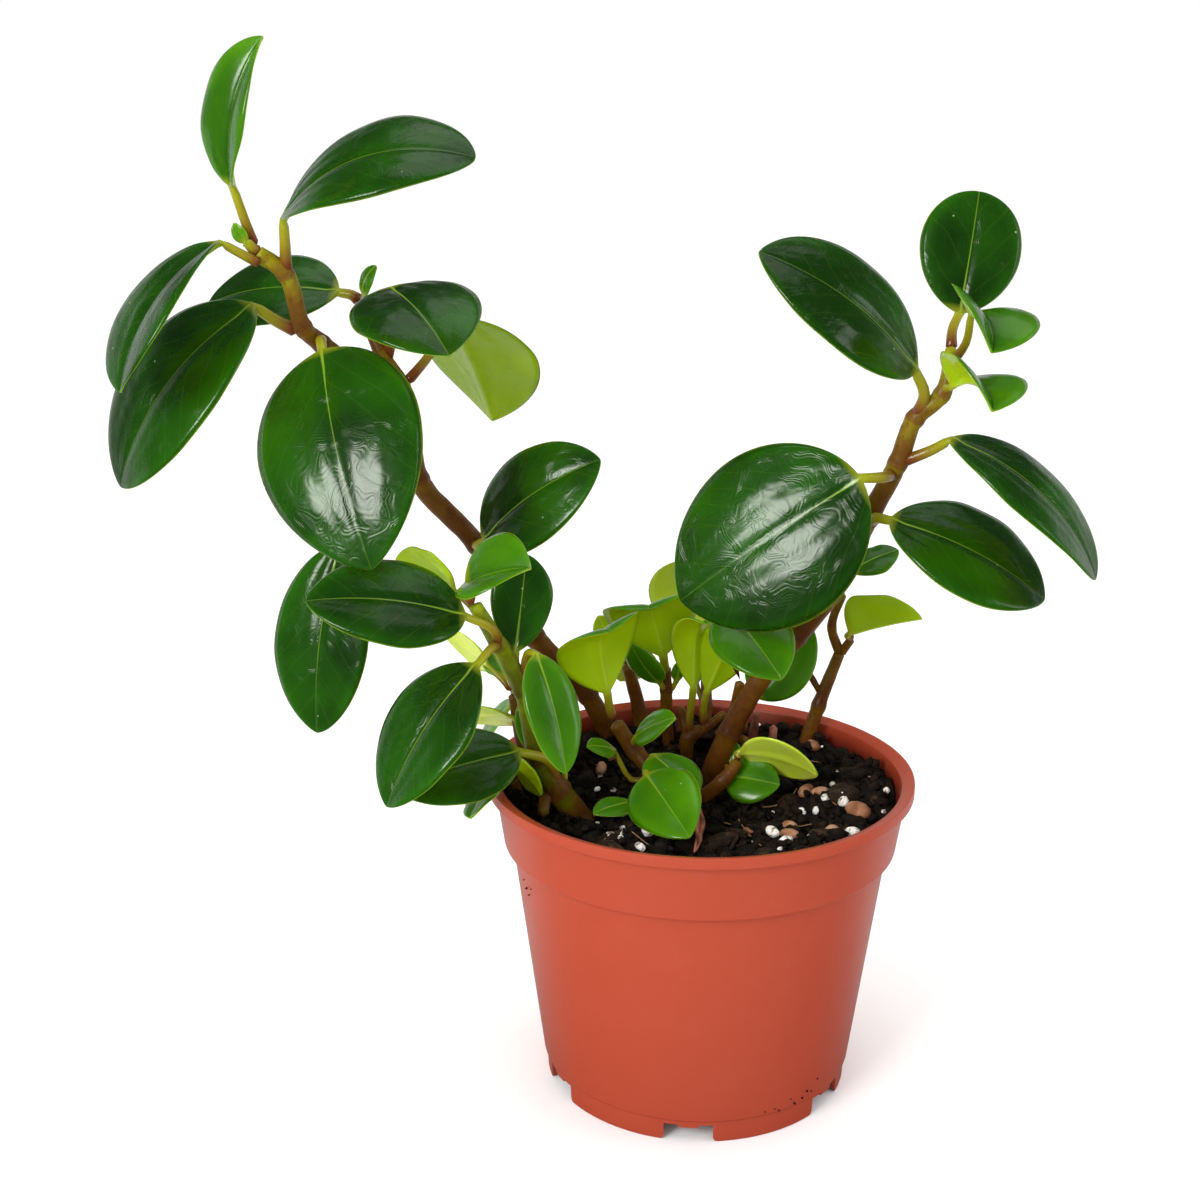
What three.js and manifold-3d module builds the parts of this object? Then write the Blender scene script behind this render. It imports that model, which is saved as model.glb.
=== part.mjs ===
// A potted peperomia: a fleshy, round-leaved house plant in a moulded nursery pot.
// Millimetres, +Z up. While it is built, the pot's axis is the Z axis and the floor is z = 0.
import * as THREE from 'three';
import { mergeVertices } from 'three/addons/utils/BufferGeometryUtils.js';
import Module from 'manifold-3d';

const wasm = await Module();
wasm.setup();

// Pot: driving dimensions
const RIM_RADIUS = 60;
const POT_HEIGHT = 91.8;
const LIP_WIDTH = 3.6;
const LIP_HEIGHT = 3.3;
const COLLAR_HEIGHT = 19.7;
const COLLAR_TOP_RADIUS = 57.8;
const COLLAR_DRAFT = 2.3;
const COLLAR_STEP = 2.3;
const FOOT_RADIUS = 43.7;
const FOOT_HEIGHT = 6.6;
const FOOT_STEP = 0.9;
const WALL = 1.6;
const POT_FACETS = 40;
const NOTCH_COUNT = 6;
const NOTCH_WIDTH = 13.5;
const NOTCH_HEIGHT = 5.2;
const NOTCH_CORNER = 1.4;
const NOTCH_TAB_WIDTH = 5.4;
const NOTCH_TAB_DROP = 0.8;
const FIRST_NOTCH = -95.5;
const DRAIN_COUNT = 6;
const DRAIN_RADIUS = 3.5;
const DRAIN_CIRCLE = 27;

// Potting mix: its level, the swell of its top, and the heap that rises from one bound to the next
const MIX_LEVEL = 79;
const MIX_SWELL = 1.6;
const MIX_HEAP = 8.5;
const HEAP_FRONT = -30;
const HEAP_BACK = 10;
const HEAP_INSIDE = 26;
const HEAP_OUTSIDE = 52;
const MIX_RINGS = 5;
const MIX_FACETS = 30;

// Plant: thicknesses and gaps
const GAP = 0.3;
const BLADE_THICKNESS = 1.0;
const NODE_SWELL = 1.16;
const NODE_RING = 1.6;
const STEM_SIDES = 7;
const STEM_ROOT_DEPTH = 18;
const ROOT_DRAW = 0.86;

const COLOURS = {
  pot: '#c4512f',
  mix: '#241a14',
  stem: '#6b4a22',
  leaf: '#1f5a12',
  young: '#6f9c14',
};

const FINISHES = {
  pot: { color: COLOURS.pot, roughness: 0.45, metalness: 0 },
  mix: { color: COLOURS.mix, roughness: 1, metalness: 0 },
  stem: { color: COLOURS.stem, roughness: 0.5, metalness: 0 },
  leaf: { color: COLOURS.leaf, roughness: 0.25, metalness: 0 },
  young: { color: COLOURS.young, roughness: 0.35, metalness: 0 },
};

const plant = new THREE.Group();

// A closed geometry as a solid that can be joined and cut
function solidOf(geometry) {
  const bare = geometry.clone();
  bare.deleteAttribute('normal');
  bare.deleteAttribute('uv');
  const merged = mergeVertices(bare, 1e-4);
  return new wasm.Manifold(new wasm.Mesh({
    numProp: 3,
    vertProperties: new Float32Array(merged.attributes.position.array),
    triVerts: new Uint32Array(merged.index.array),
  }));
}

// A solid back as a geometry
function geometryOf(solid) {
  const mesh = solid.getMesh();
  const geometry = new THREE.BufferGeometry();
  geometry.setAttribute('position', new THREE.BufferAttribute(mesh.vertProperties, 3));
  geometry.setIndex(new THREE.BufferAttribute(mesh.triVerts, 1));
  geometry.computeVertexNormals();
  return geometry;
}

// The largest body of a solid: a scrap that a cut leaves is dropped
function largestBody(solid) {
  const bodies = solid.decompose();
  return bodies.reduce((best, body) => (body.volume() > best.volume() ? body : best));
}

function addPiece(name, solid, finish) {
  const material = new THREE.MeshStandardMaterial(FINISHES[finish]);
  const mesh = new THREE.Mesh(geometryOf(largestBody(solid)), material);
  mesh.name = name;
  plant.add(mesh);
}

function point(numbers) {
  return new THREE.Vector3(numbers[0], numbers[1], numbers[2]);
}

// A round tube along a curve through the points, with a radius given for each station
function tube(points, stations, radii, sides) {
  const curve = new THREE.CatmullRomCurve3(points);
  const rows = stations.length - 1;
  const geometry = new THREE.CylinderGeometry(1, 1, 1, sides, rows);
  let across = new THREE.Vector3(0, 1, 0.2);
  const frames = stations.map((station) => {
    const along = curve.getTangent(station);
    across = across.clone().addScaledVector(along, -across.dot(along)).normalize();
    const up = new THREE.Vector3().crossVectors(along, across);
    return { centre: curve.getPoint(station), across, up };
  });
  const place = geometry.attributes.position;
  for (let i = 0; i < place.count; i += 1) {
    const row = Math.round((0.5 - place.getY(i)) * rows);
    const frame = frames[row];
    const moved = frame.centre.clone();
    moved.addScaledVector(frame.across, place.getX(i) * radii[row]);
    moved.addScaledVector(frame.up, place.getZ(i) * radii[row]);
    place.setXYZ(i, moved.x, moved.y, moved.z);
  }
  return solidOf(geometry);
}

// A stem through its joints, each [x, y, z, radius], with a swollen ring at every inner joint
function stem(joints, grown = 0) {
  const points = joints.map(point);
  const last = joints.length - 1;
  const stations = [];
  const radii = [];
  for (let i = 0; i <= last; i += 1) {
    const radius = joints[i][3] + grown;
    if (i > 0 && i < last) {
      const before = NODE_RING / points[i].distanceTo(points[i - 1]);
      const after = NODE_RING / points[i].distanceTo(points[i + 1]);
      stations.push((i - before) / last, i / last, (i + after) / last);
      radii.push(radius, radius * NODE_SWELL, radius);
    } else {
      stations.push(i / last);
      radii.push(i === last ? radius * 0.7 : radius);
    }
  }
  return tube(points, stations, radii, STEM_SIDES);
}

// The joints of a stem with its buried end added below the first joint, drawn in from the pot's wall
function rooted(joints) {
  const [x, y, z, radius] = joints[0];
  return [[x * ROOT_DRAW, y * ROOT_DRAW, z - STEM_ROOT_DEPTH, radius * 0.8], ...joints];
}

function joined(solids) {
  return solids.reduce((whole, solid) => whole.add(solid));
}

// The curve of a midrib over its chord: it bends by the arch in all, evenly where the hook is 1
// and more and more towards the tip where the hook is larger
function midribCurve(chord, arch, hook) {
  const steps = 24;
  const track = [{ along: 0, above: 0 }];
  for (let i = 0; i < steps; i += 1) {
    const slope = -arch * ((i + 0.5) / steps) ** hook;
    const last = track[i];
    track.push({ along: last.along + Math.cos(slope), above: last.above + Math.sin(slope) });
  }
  const end = track[steps];
  const turn = -Math.atan2(end.above, end.along);
  const scale = chord / Math.hypot(end.along, end.above);
  return (t) => {
    const i = Math.min(Math.floor(t * steps), steps - 1);
    const part = t * steps - i;
    const along = THREE.MathUtils.lerp(track[i].along, track[i + 1].along, part);
    const above = THREE.MathUtils.lerp(track[i].above, track[i + 1].above, part);
    return {
      along: scale * (along * Math.cos(turn) - above * Math.sin(turn)),
      above: scale * (along * Math.sin(turn) + above * Math.cos(turn)),
      slope: turn - arch * t ** hook,
    };
  };
}

// The share of the full width that a blade has at a place t along it: 1 at the peak, and falling
// to the base and the tip, bluntly for a taper of 0.5 and to a point for a taper of 1
function outline(t, peak, baseTaper, tipTaper) {
  const reach = t < peak ? (peak - t) / peak : (t - peak) / (1 - peak);
  return (1 - reach * reach) ** (t < peak ? baseTaper : tipTaper);
}

const LEAF_DEFAULTS = {
  arch: 30,
  hook: 1,
  fold: 8,
  droop: 14,
  peak: 0.45,
  baseTaper: 0.62,
  tipTaper: 0.7,
  petiole: 1.5,
  rows: 6,
  stalkRows: 2,
  columns: 4,
};

// The middle line of a petiole, from its place on the stem to the base of the blade
function petioleCurve(form, base, forward) {
  const start = point(form.from);
  const swing = base.clone().addScaledVector(forward, -0.35 * start.distanceTo(base)).lerp(start, 0.35);
  return new THREE.CatmullRomCurve3([start, form.via ? point(form.via) : swing, base]);
}

// A leaf is a grid of points with an upper and a lower sheet, closed along its rim. The first rows
// run round the petiole, and the others lie on the blade. base and tip are the ends of the midrib,
// faces is where the upper side looks, the arch bends the midrib, the fold lifts each half at the
// midrib, and the droop lowers it at the margin. The petiole starts on the stem's axis.
function leafSolid(leaf) {
  const form = { ...LEAF_DEFAULTS, ...leaf };
  const radians = THREE.MathUtils.degToRad;
  const base = point(form.base);
  const chord = point(form.tip).sub(base);
  const forward = chord.clone().normalize();
  const face = point(form.faces);
  const up = face.addScaledVector(forward, -face.dot(forward)).normalize();
  const right = new THREE.Vector3().crossVectors(forward, up);
  const midrib = midribCurve(chord.length(), radians(form.arch), form.hook);
  const petiole = petioleCurve(form, base, forward);
  const rows = form.stalkRows + form.rows;
  const grid = new THREE.PlaneGeometry(2, 1, form.columns, rows);
  const count = grid.attributes.position.count;
  const places = new Float32Array(count * 6);
  for (let i = 0; i < count; i += 1) {
    const u = grid.attributes.position.getX(i);
    const row = Math.round((grid.attributes.position.getY(i) + 0.5) * rows);
    let place;
    let offset;
    if (row < form.stalkRows) {
      const t = row / form.stalkRows;
      const along = petiole.getTangent(t);
      const side = right.clone().addScaledVector(along, -right.dot(along)).normalize();
      const radius = form.petiole * (1.1 - 0.25 * t);
      place = petiole.getPoint(t).addScaledVector(side, u * radius);
      offset = side.cross(along).multiplyScalar(radius * Math.sqrt(1 - 0.9 * u * u));
    } else {
      const t = (1 - Math.cos(Math.PI * (row - form.stalkRows) / form.rows)) / 2;
      const least = (t < 0.5 ? 1.6 * form.petiole : 1.2) / form.width;
      const share = Math.max(outline(t, form.peak, form.baseTaper, form.tipTaper), least);
      const spread = Math.abs(u) * share;
      const rise = radians(form.fold - (form.fold + form.droop) * spread / 2);
      const lean = radians(form.fold - (form.fold + form.droop) * spread);
      const middle = midrib(t);
      const above = up.clone().multiplyScalar(Math.cos(middle.slope));
      above.addScaledVector(forward, -Math.sin(middle.slope));
      const reach = u * share * form.width / 2;
      place = base.clone().addScaledVector(forward, middle.along).addScaledVector(up, middle.above);
      place.addScaledVector(right, reach * Math.cos(rise));
      place.addScaledVector(above, Math.abs(reach) * Math.sin(rise));
      offset = above.multiplyScalar(Math.cos(lean)).addScaledVector(right, -Math.sign(u) * Math.sin(lean));
      offset.setLength(t > 0 ? BLADE_THICKNESS / 2 : 0.65 * form.petiole);
    }
    place.clone().add(offset).toArray(places, i * 3);
    place.clone().sub(offset).toArray(places, (count + i) * 3);
  }
  const upper = Array.from(grid.index.array);
  const triangles = [...upper];
  for (let i = 0; i < upper.length; i += 3) {
    triangles.push(upper[i] + count, upper[i + 2] + count, upper[i + 1] + count);
  }
  const rim = [];
  const across = form.columns + 1;
  for (let i = 0; i < rows; i += 1) rim.push(i * across);
  for (let i = 0; i < form.columns; i += 1) rim.push(rows * across + i);
  for (let i = rows; i > 0; i -= 1) rim.push(i * across + form.columns);
  for (let i = form.columns; i > 0; i -= 1) rim.push(i);
  rim.forEach((corner, i) => {
    const next = rim[(i + 1) % rim.length];
    triangles.push(corner, corner + count, next, next, corner + count, next + count);
  });
  const geometry = new THREE.BufferGeometry();
  geometry.setAttribute('position', new THREE.BufferAttribute(places, 3));
  geometry.setIndex(triangles);
  return solidOf(geometry);
}

// The pot, turned in one profile, with the notches of its foot and its drain holes cut out

function potProfile() {
  const lipBottom = POT_HEIGHT - LIP_HEIGHT;
  const collarTop = COLLAR_TOP_RADIUS;
  const collarBottom = collarTop - COLLAR_DRAFT;
  const collarZ = POT_HEIGHT - COLLAR_HEIGHT;
  const bodyTop = collarBottom - COLLAR_STEP;
  const footTop = FOOT_RADIUS + FOOT_STEP;
  const floorBottom = FOOT_HEIGHT - 1.4;
  return [
    [0, floorBottom],
    [FOOT_RADIUS - WALL - 0.4, floorBottom],
    [FOOT_RADIUS - WALL, 0],
    [FOOT_RADIUS - 0.2, 0],
    [FOOT_RADIUS + 0.1, FOOT_HEIGHT],
    [footTop, FOOT_HEIGHT + 0.3],
    [bodyTop, collarZ],
    [collarBottom - 0.4, collarZ],
    [collarBottom, collarZ + 0.5],
    [collarTop, lipBottom - 0.3],
    [RIM_RADIUS, lipBottom],
    [RIM_RADIUS, POT_HEIGHT - 0.8],
    [RIM_RADIUS - 0.8, POT_HEIGHT],
    [RIM_RADIUS - LIP_WIDTH, POT_HEIGHT - 1.3],
    [collarBottom - WALL, collarZ + 1],
    [bodyTop - WALL, collarZ - 1],
    [footTop - WALL, FOOT_HEIGHT + 1],
    [footTop - WALL - 1, FOOT_HEIGHT],
    [0, FOOT_HEIGHT],
  ];
}

function turned(profile, facets) {
  const points = profile.map(([radius, height]) => new THREE.Vector2(radius, height));
  return new THREE.LatheGeometry(points, facets).rotateX(Math.PI / 2);
}

function notchOutline() {
  const half = NOTCH_WIDTH / 2;
  const tab = NOTCH_TAB_WIDTH / 2;
  const shape = new THREE.Shape();
  shape.moveTo(-half - NOTCH_CORNER, -1);
  shape.lineTo(half + NOTCH_CORNER, -1);
  shape.lineTo(half + NOTCH_CORNER, 0);
  shape.quadraticCurveTo(half, 0, half, NOTCH_CORNER);
  shape.lineTo(half, NOTCH_HEIGHT);
  shape.lineTo(tab, NOTCH_HEIGHT);
  shape.lineTo(tab, NOTCH_HEIGHT - NOTCH_TAB_DROP);
  shape.lineTo(-tab, NOTCH_HEIGHT - NOTCH_TAB_DROP);
  shape.lineTo(-tab, NOTCH_HEIGHT);
  shape.lineTo(-half, NOTCH_HEIGHT);
  shape.lineTo(-half, NOTCH_CORNER);
  shape.quadraticCurveTo(-half, 0, -half - NOTCH_CORNER, 0);
  return shape;
}

function makePot() {
  let pot = solidOf(turned(potProfile(), POT_FACETS));
  for (let i = 0; i < NOTCH_COUNT; i += 1) {
    const angle = THREE.MathUtils.degToRad(FIRST_NOTCH + i * 360 / NOTCH_COUNT);
    const cut = { depth: 6, bevelEnabled: false, curveSegments: 3 };
    const notch = new THREE.ExtrudeGeometry(notchOutline(), cut);
    notch.translate(0, 0, FOOT_RADIUS - 3).rotateX(Math.PI / 2).rotateZ(Math.PI + angle + Math.PI / 2);
    pot = pot.subtract(solidOf(notch));
  }
  for (let i = 0; i < DRAIN_COUNT; i += 1) {
    const angle = (i + 0.5) * 2 * Math.PI / DRAIN_COUNT;
    const hole = new THREE.CylinderGeometry(DRAIN_RADIUS, DRAIN_RADIUS, 6, 10).rotateX(Math.PI / 2);
    hole.translate(DRAIN_CIRCLE * Math.cos(angle), DRAIN_CIRCLE * Math.sin(angle), FOOT_HEIGHT);
    pot = pot.subtract(solidOf(hole));
  }
  return pot;
}

// The stems. Each joint is [x, y, z, radius], from the mix upwards.

const leftBackTrunk = [
  [-22, 43, 76, 3.2],
  [-32, 40, 100, 3.1],
  [-48, 36, 120, 3.1],
  [-64, 28, 150.3, 2.9],
  [-79.4, 22, 170.6, 2.9],
  [-81, 20, 185, 2.7],
];
const leftBackLeftFork = [
  [-81, 20, 183, 2.7],
  [-88, 16, 196, 2.6],
  [-102.9, 9, 210.4, 2.5],
  [-106.9, 4, 215.5, 2.4],
  [-109.9, 0, 229.4, 2.2],
  [-117.4, -2, 235.7, 2.1],
];
const leftBackRightFork = [
  [-81, 20, 183, 2.4],
  [-83, 22, 197, 1.9],
  [-89.5, 24, 207, 1.8],
  [-95, 28, 220, 1.6],
];
const leftFrontStem = [
  [-34, -3, 77, 4.0],
  [-40, -7, 88, 3.7],
  [-45, -9, 98, 2.9],
  [-49, -14, 120, 2.5],
  [-55, -18, 134, 2.3],
  [-61, -23, 147, 1.9],
];
const leftFrontStub = [
  [-38, -6, 86, 2.2],
  [-43, -9, 87, 1.9],
  [-44, -14, 83, 1.5],
];
const rightStem = [
  [4, 22, 76, 3.5],
  [10, 21, 95, 3.2],
  [20, 18, 115, 3.0],
  [28, 16, 126, 3.0],
  [37, 13, 140, 3.1],
  [46, 8, 163, 2.9],
  [52.5, 4, 178.9, 2.6],
  [56.1, 2, 191.3, 2.4],
  [62.6, 0, 198.3, 2.2],
  [64.5, 0, 211.3, 1.6],
];
const thinTrunk = [
  [32, 35, 77, 2.3],
  [38, 36, 98, 2.1],
  [44, 37, 115, 1.7],
];
const thinLeftFork = [
  [44, 37, 114, 1.6],
  [41, 36, 123, 1.3],
  [44, 35, 134, 1.2],
];
const thinRightFork = [
  [44, 37, 114, 1.5],
  [47, 34, 120, 1.2],
];
const thinTwig = [
  [39, 36, 101, 1.0],
  [36, 37, 106, 0.9],
  [34, 38, 110, 0.7],
];

const stemSets = {
  stem_left_back: [rooted(leftBackTrunk), leftBackLeftFork, leftBackRightFork],
  stem_left_front: [rooted(leftFrontStem), leftFrontStub],
  stem_right: [rooted(rightStem)],
  stem_right_thin: [rooted(thinTrunk), thinLeftFork, thinRightFork, thinTwig],
};

// Little leaves that are still one piece with the stem they come from
const buds = {
  stem_left_back: [
    {
      from: [-92, 26, 214], base: [-93, 23, 222], tip: [-89, 21, 230], width: 7,
      faces: [-0.5, -0.6, 0.5], arch: 70, petiole: 0.9,
    },
  ],
  stem_left_front: [
    {
      from: leftFrontStem[1], base: [-38, -4, 93], tip: [-40, -1, 98], width: 6,
      faces: [0.3, 0.8, 0.3], petiole: 0.9,
    },
  ],
  stem_right: [
    {
      from: [7, 21, 86], base: [11, 20, 85], tip: [12, 23, 91], width: 5,
      faces: [-0.3, -0.9, 0.2], petiole: 0.8, columns: 2,
    },
  ],
  stem_right_thin: [],
};

function stemSolid(name, grown = 0) {
  return joined(stemSets[name].map((joints) => stem(joints, grown)));
}

// The leaves that stand apart, by the stem that carries them

const leafSets = {
  stem_left_back: {
    leaf_left_back_1: {
      from: [-117.2, -1.2, 235.9], base: [-122, -2, 252], tip: [-111.5, -6, 288], width: 22.5,
      faces: [-0.75, -0.65, 0.1], arch: 50, fold: 30, droop: 4, peak: 0.46, petiole: 1.3,
      via: [-119.6, -1.5, 243.6],
    },
    leaf_left_back_2: {
      from: leftBackLeftFork[4], via: [-109.5, -1.5, 237], base: [-109.5, -2, 243.4],
      tip: [-59, -14, 259], width: 36, faces: [-0.2, -0.5, 0.85], arch: 80, peak: 0.55,
      baseTaper: 0.9, tipTaper: 0.6, petiole: 1.5,
    },
    leaf_left_back_3: {
      from: [-115.8, -3, 232.6], via: [-119, -5.2, 234.6], base: [-125, -6, 238],
      tip: [-149, -22, 202], width: 34, faces: [-0.75, -0.5, 0.45], arch: 55, fold: 20, peak: 0.58,
      baseTaper: 0.75, petiole: 1.3,
    },
    leaf_left_back_4: {
      from: [-107.9, 5, 214.1], base: [-119.5, 4, 221], tip: [-156, -4, 174], width: 39,
      faces: [-0.5, -0.7, 0.5], arch: 60, peak: 0.5, petiole: 1.7, via: [-113.8, 4.5, 217],
    },
    leaf_left_back_5: {
      from: leftBackRightFork[3], base: [-101, 30, 222], tip: [-139, 36, 218], width: 33,
      faces: [0, -0.5, 0.85], arch: 45,
    },
    leaf_left_back_6: {
      from: leftBackLeftFork[2], base: [-101, -1.5, 209.8], tip: [-86, -32, 158.6], width: 46.5,
      faces: [-0.27, -0.88, 0.42], arch: 46, peak: 0.42, baseTaper: 0.55, tipTaper: 0.75, fold: 4,
      droop: 20,
    },
    leaf_left_back_7: {
      from: [-86, 23, 203], base: [-85, 18, 224], tip: [-67, -12, 210], width: 35,
      faces: [0.1, -0.6, 0.8], arch: 40, baseTaper: 0.5, petiole: 1.3,
    },
    leaf_left_back_8: {
      from: leftBackRightFork[1], via: [-76, 29, 205], base: [-71, 35, 214],
      tip: [-60.5, 56, 181.5], width: 42, faces: [0.5, 0.82, 0.1], fold: 24, droop: 0, arch: 20,
      peak: 0.42, petiole: 1.3,
    },
    leaf_left_back_9: {
      from: leftBackTrunk[3], base: [-61, 21, 153], tip: [-28, 8, 179], width: 29,
      faces: [-0.4, -0.75, 0.5], arch: 58, peak: 0.5, baseTaper: 0.5,
    },
    leaf_left_back_10: {
      from: leftBackTrunk[4], base: [-102, 20, 152], tip: [-109.4, 10, 99], width: 31,
      faces: [-0.4, -0.9, 0.1], arch: 42, peak: 0.5,
    },
  },
  stem_left_front: {
    leaf_left_front_1: {
      from: leftFrontStem[5], base: [-62.5, -26, 153], tip: [-45.5, -36, 160], width: 24,
      faces: [-0.5, -0.35, 0.75], arch: 30, fold: 35, droop: 0, baseTaper: 0.5, petiole: 1.2,
    },
    leaf_left_front_2: {
      from: leftFrontStem[3], base: [-51, -15, 131], tip: [-48, -6, 156], width: 17,
      faces: [0.2, -0.95, 0.3], arch: 20, peak: 0.58, baseTaper: 0.8, petiole: 1.2,
    },
    leaf_left_front_3: {
      from: leftFrontStem[3], base: [-45.2, -22, 133], tip: [-37.3, -34, 104], width: 16,
      faces: [0.5, -0.8, 0.35], arch: 35, petiole: 1.2,
    },
    leaf_left_front_4: {
      from: leftFrontStem[4], base: [-63, -28, 145], tip: [-102.1, -38, 151.9], width: 28,
      faces: [-0.2, -0.6, 0.75], arch: 45, petiole: 1.2,
    },
    leaf_left_front_5: {
      from: [-58, -21, 141], via: [-62.5, -19.5, 146], base: [-66.4, -18, 148.8],
      tip: [-82.5, -12, 156], width: 22, faces: [0.25, 0.75, 0.6], arch: 30, petiole: 1.1,
    },
    leaf_left_front_6: {
      from: leftFrontStem[4], base: [-60, -29.5, 132.5], tip: [-83, -42, 98], width: 31,
      faces: [-0.6, -0.6, 0.4], arch: 40, baseTaper: 0.75, petiole: 1.2,
    },
    leaf_left_front_7: {
      from: leftFrontStem[1], base: [-50, -16, 103], tip: [-83, -28, 97], width: 25,
      faces: [-0.2, -0.6, 0.75], arch: 28,
    },
  },
  stem_right: {
    leaf_right_1: {
      from: [64.4, 0, 209.4], via: [65, 3, 215], base: [67, 5, 219], tip: [72, 13, 250], width: 27,
      faces: [0, -0.95, 0.3], arch: 20, peak: 0.55, tipTaper: 0.5, petiole: 1.3,
    },
    leaf_right_2: {
      from: [64, -1, 206], via: [67, -5, 212.4], base: [67, -9, 220.1], tip: [69.2, -25, 212.5],
      width: 28, faces: [0.4, -0.3, 0.85], arch: 75, fold: 37, droop: -10, peak: 0.4, petiole: 1.1,
    },
    leaf_right_3: {
      from: rightStem[8], base: [64.2, -5, 201], tip: [70, -26, 198], width: 25,
      faces: [0.4, -0.3, 0.85], arch: 80, fold: 36, droop: -10, peak: 0.5, petiole: 1.2,
    },
    leaf_right_4: {
      from: rightStem[7], base: [54.5, -3, 205], tip: [12, -10, 236], width: 34,
      faces: [0.42, -0.66, 0.62], arch: 48, peak: 0.48, petiole: 1.6,
    },
    leaf_right_5: {
      from: [51.4, 4.6, 175.5], base: [41, -7, 177], tip: [-5.9, 2, 140.7], width: 50,
      faces: [-0.37, -0.87, 0.32], arch: 28, baseTaper: 0.55, peak: 0.48, fold: 4, droop: 18,
      via: [47, -3.5, 176.5],
    },
    leaf_right_6: {
      from: rightStem[6], base: [65, -2, 186.3], tip: [103, -14, 151], width: 30,
      faces: [0.62, -0.48, 0.6], arch: 62, via: [60.4, 1, 182.8],
    },
    leaf_right_7: {
      from: [46.5, 7, 161.5], base: [50, -2, 164.3], tip: [91, -10, 144.2], width: 35,
      faces: [0.3, -0.55, 0.75], arch: 40, peak: 0.52,
    },
  },
  stem_right_thin: {
    leaf_right_thin_1: {
      from: thinLeftFork[2], base: [46, 35, 140], tip: [60, 37, 146], width: 14,
      faces: [0, -0.3, 0.95], arch: 30, petiole: 1.0,
    },
    leaf_right_thin_2: {
      from: thinRightFork[1], base: [45.5, 31, 122.1], tip: [65.6, 25, 128.6], width: 22,
      faces: [0, 0.75, 0.65], arch: 15, baseTaper: 0.4, petiole: 1.0, fold: 36, droop: -30,
      peak: 0.25,
    },
  },
};

// The young shoots: short stalks and their small leaves grown together in one piece. The first
// stalk of each stands in the mix, and the others branch from it.

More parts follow.
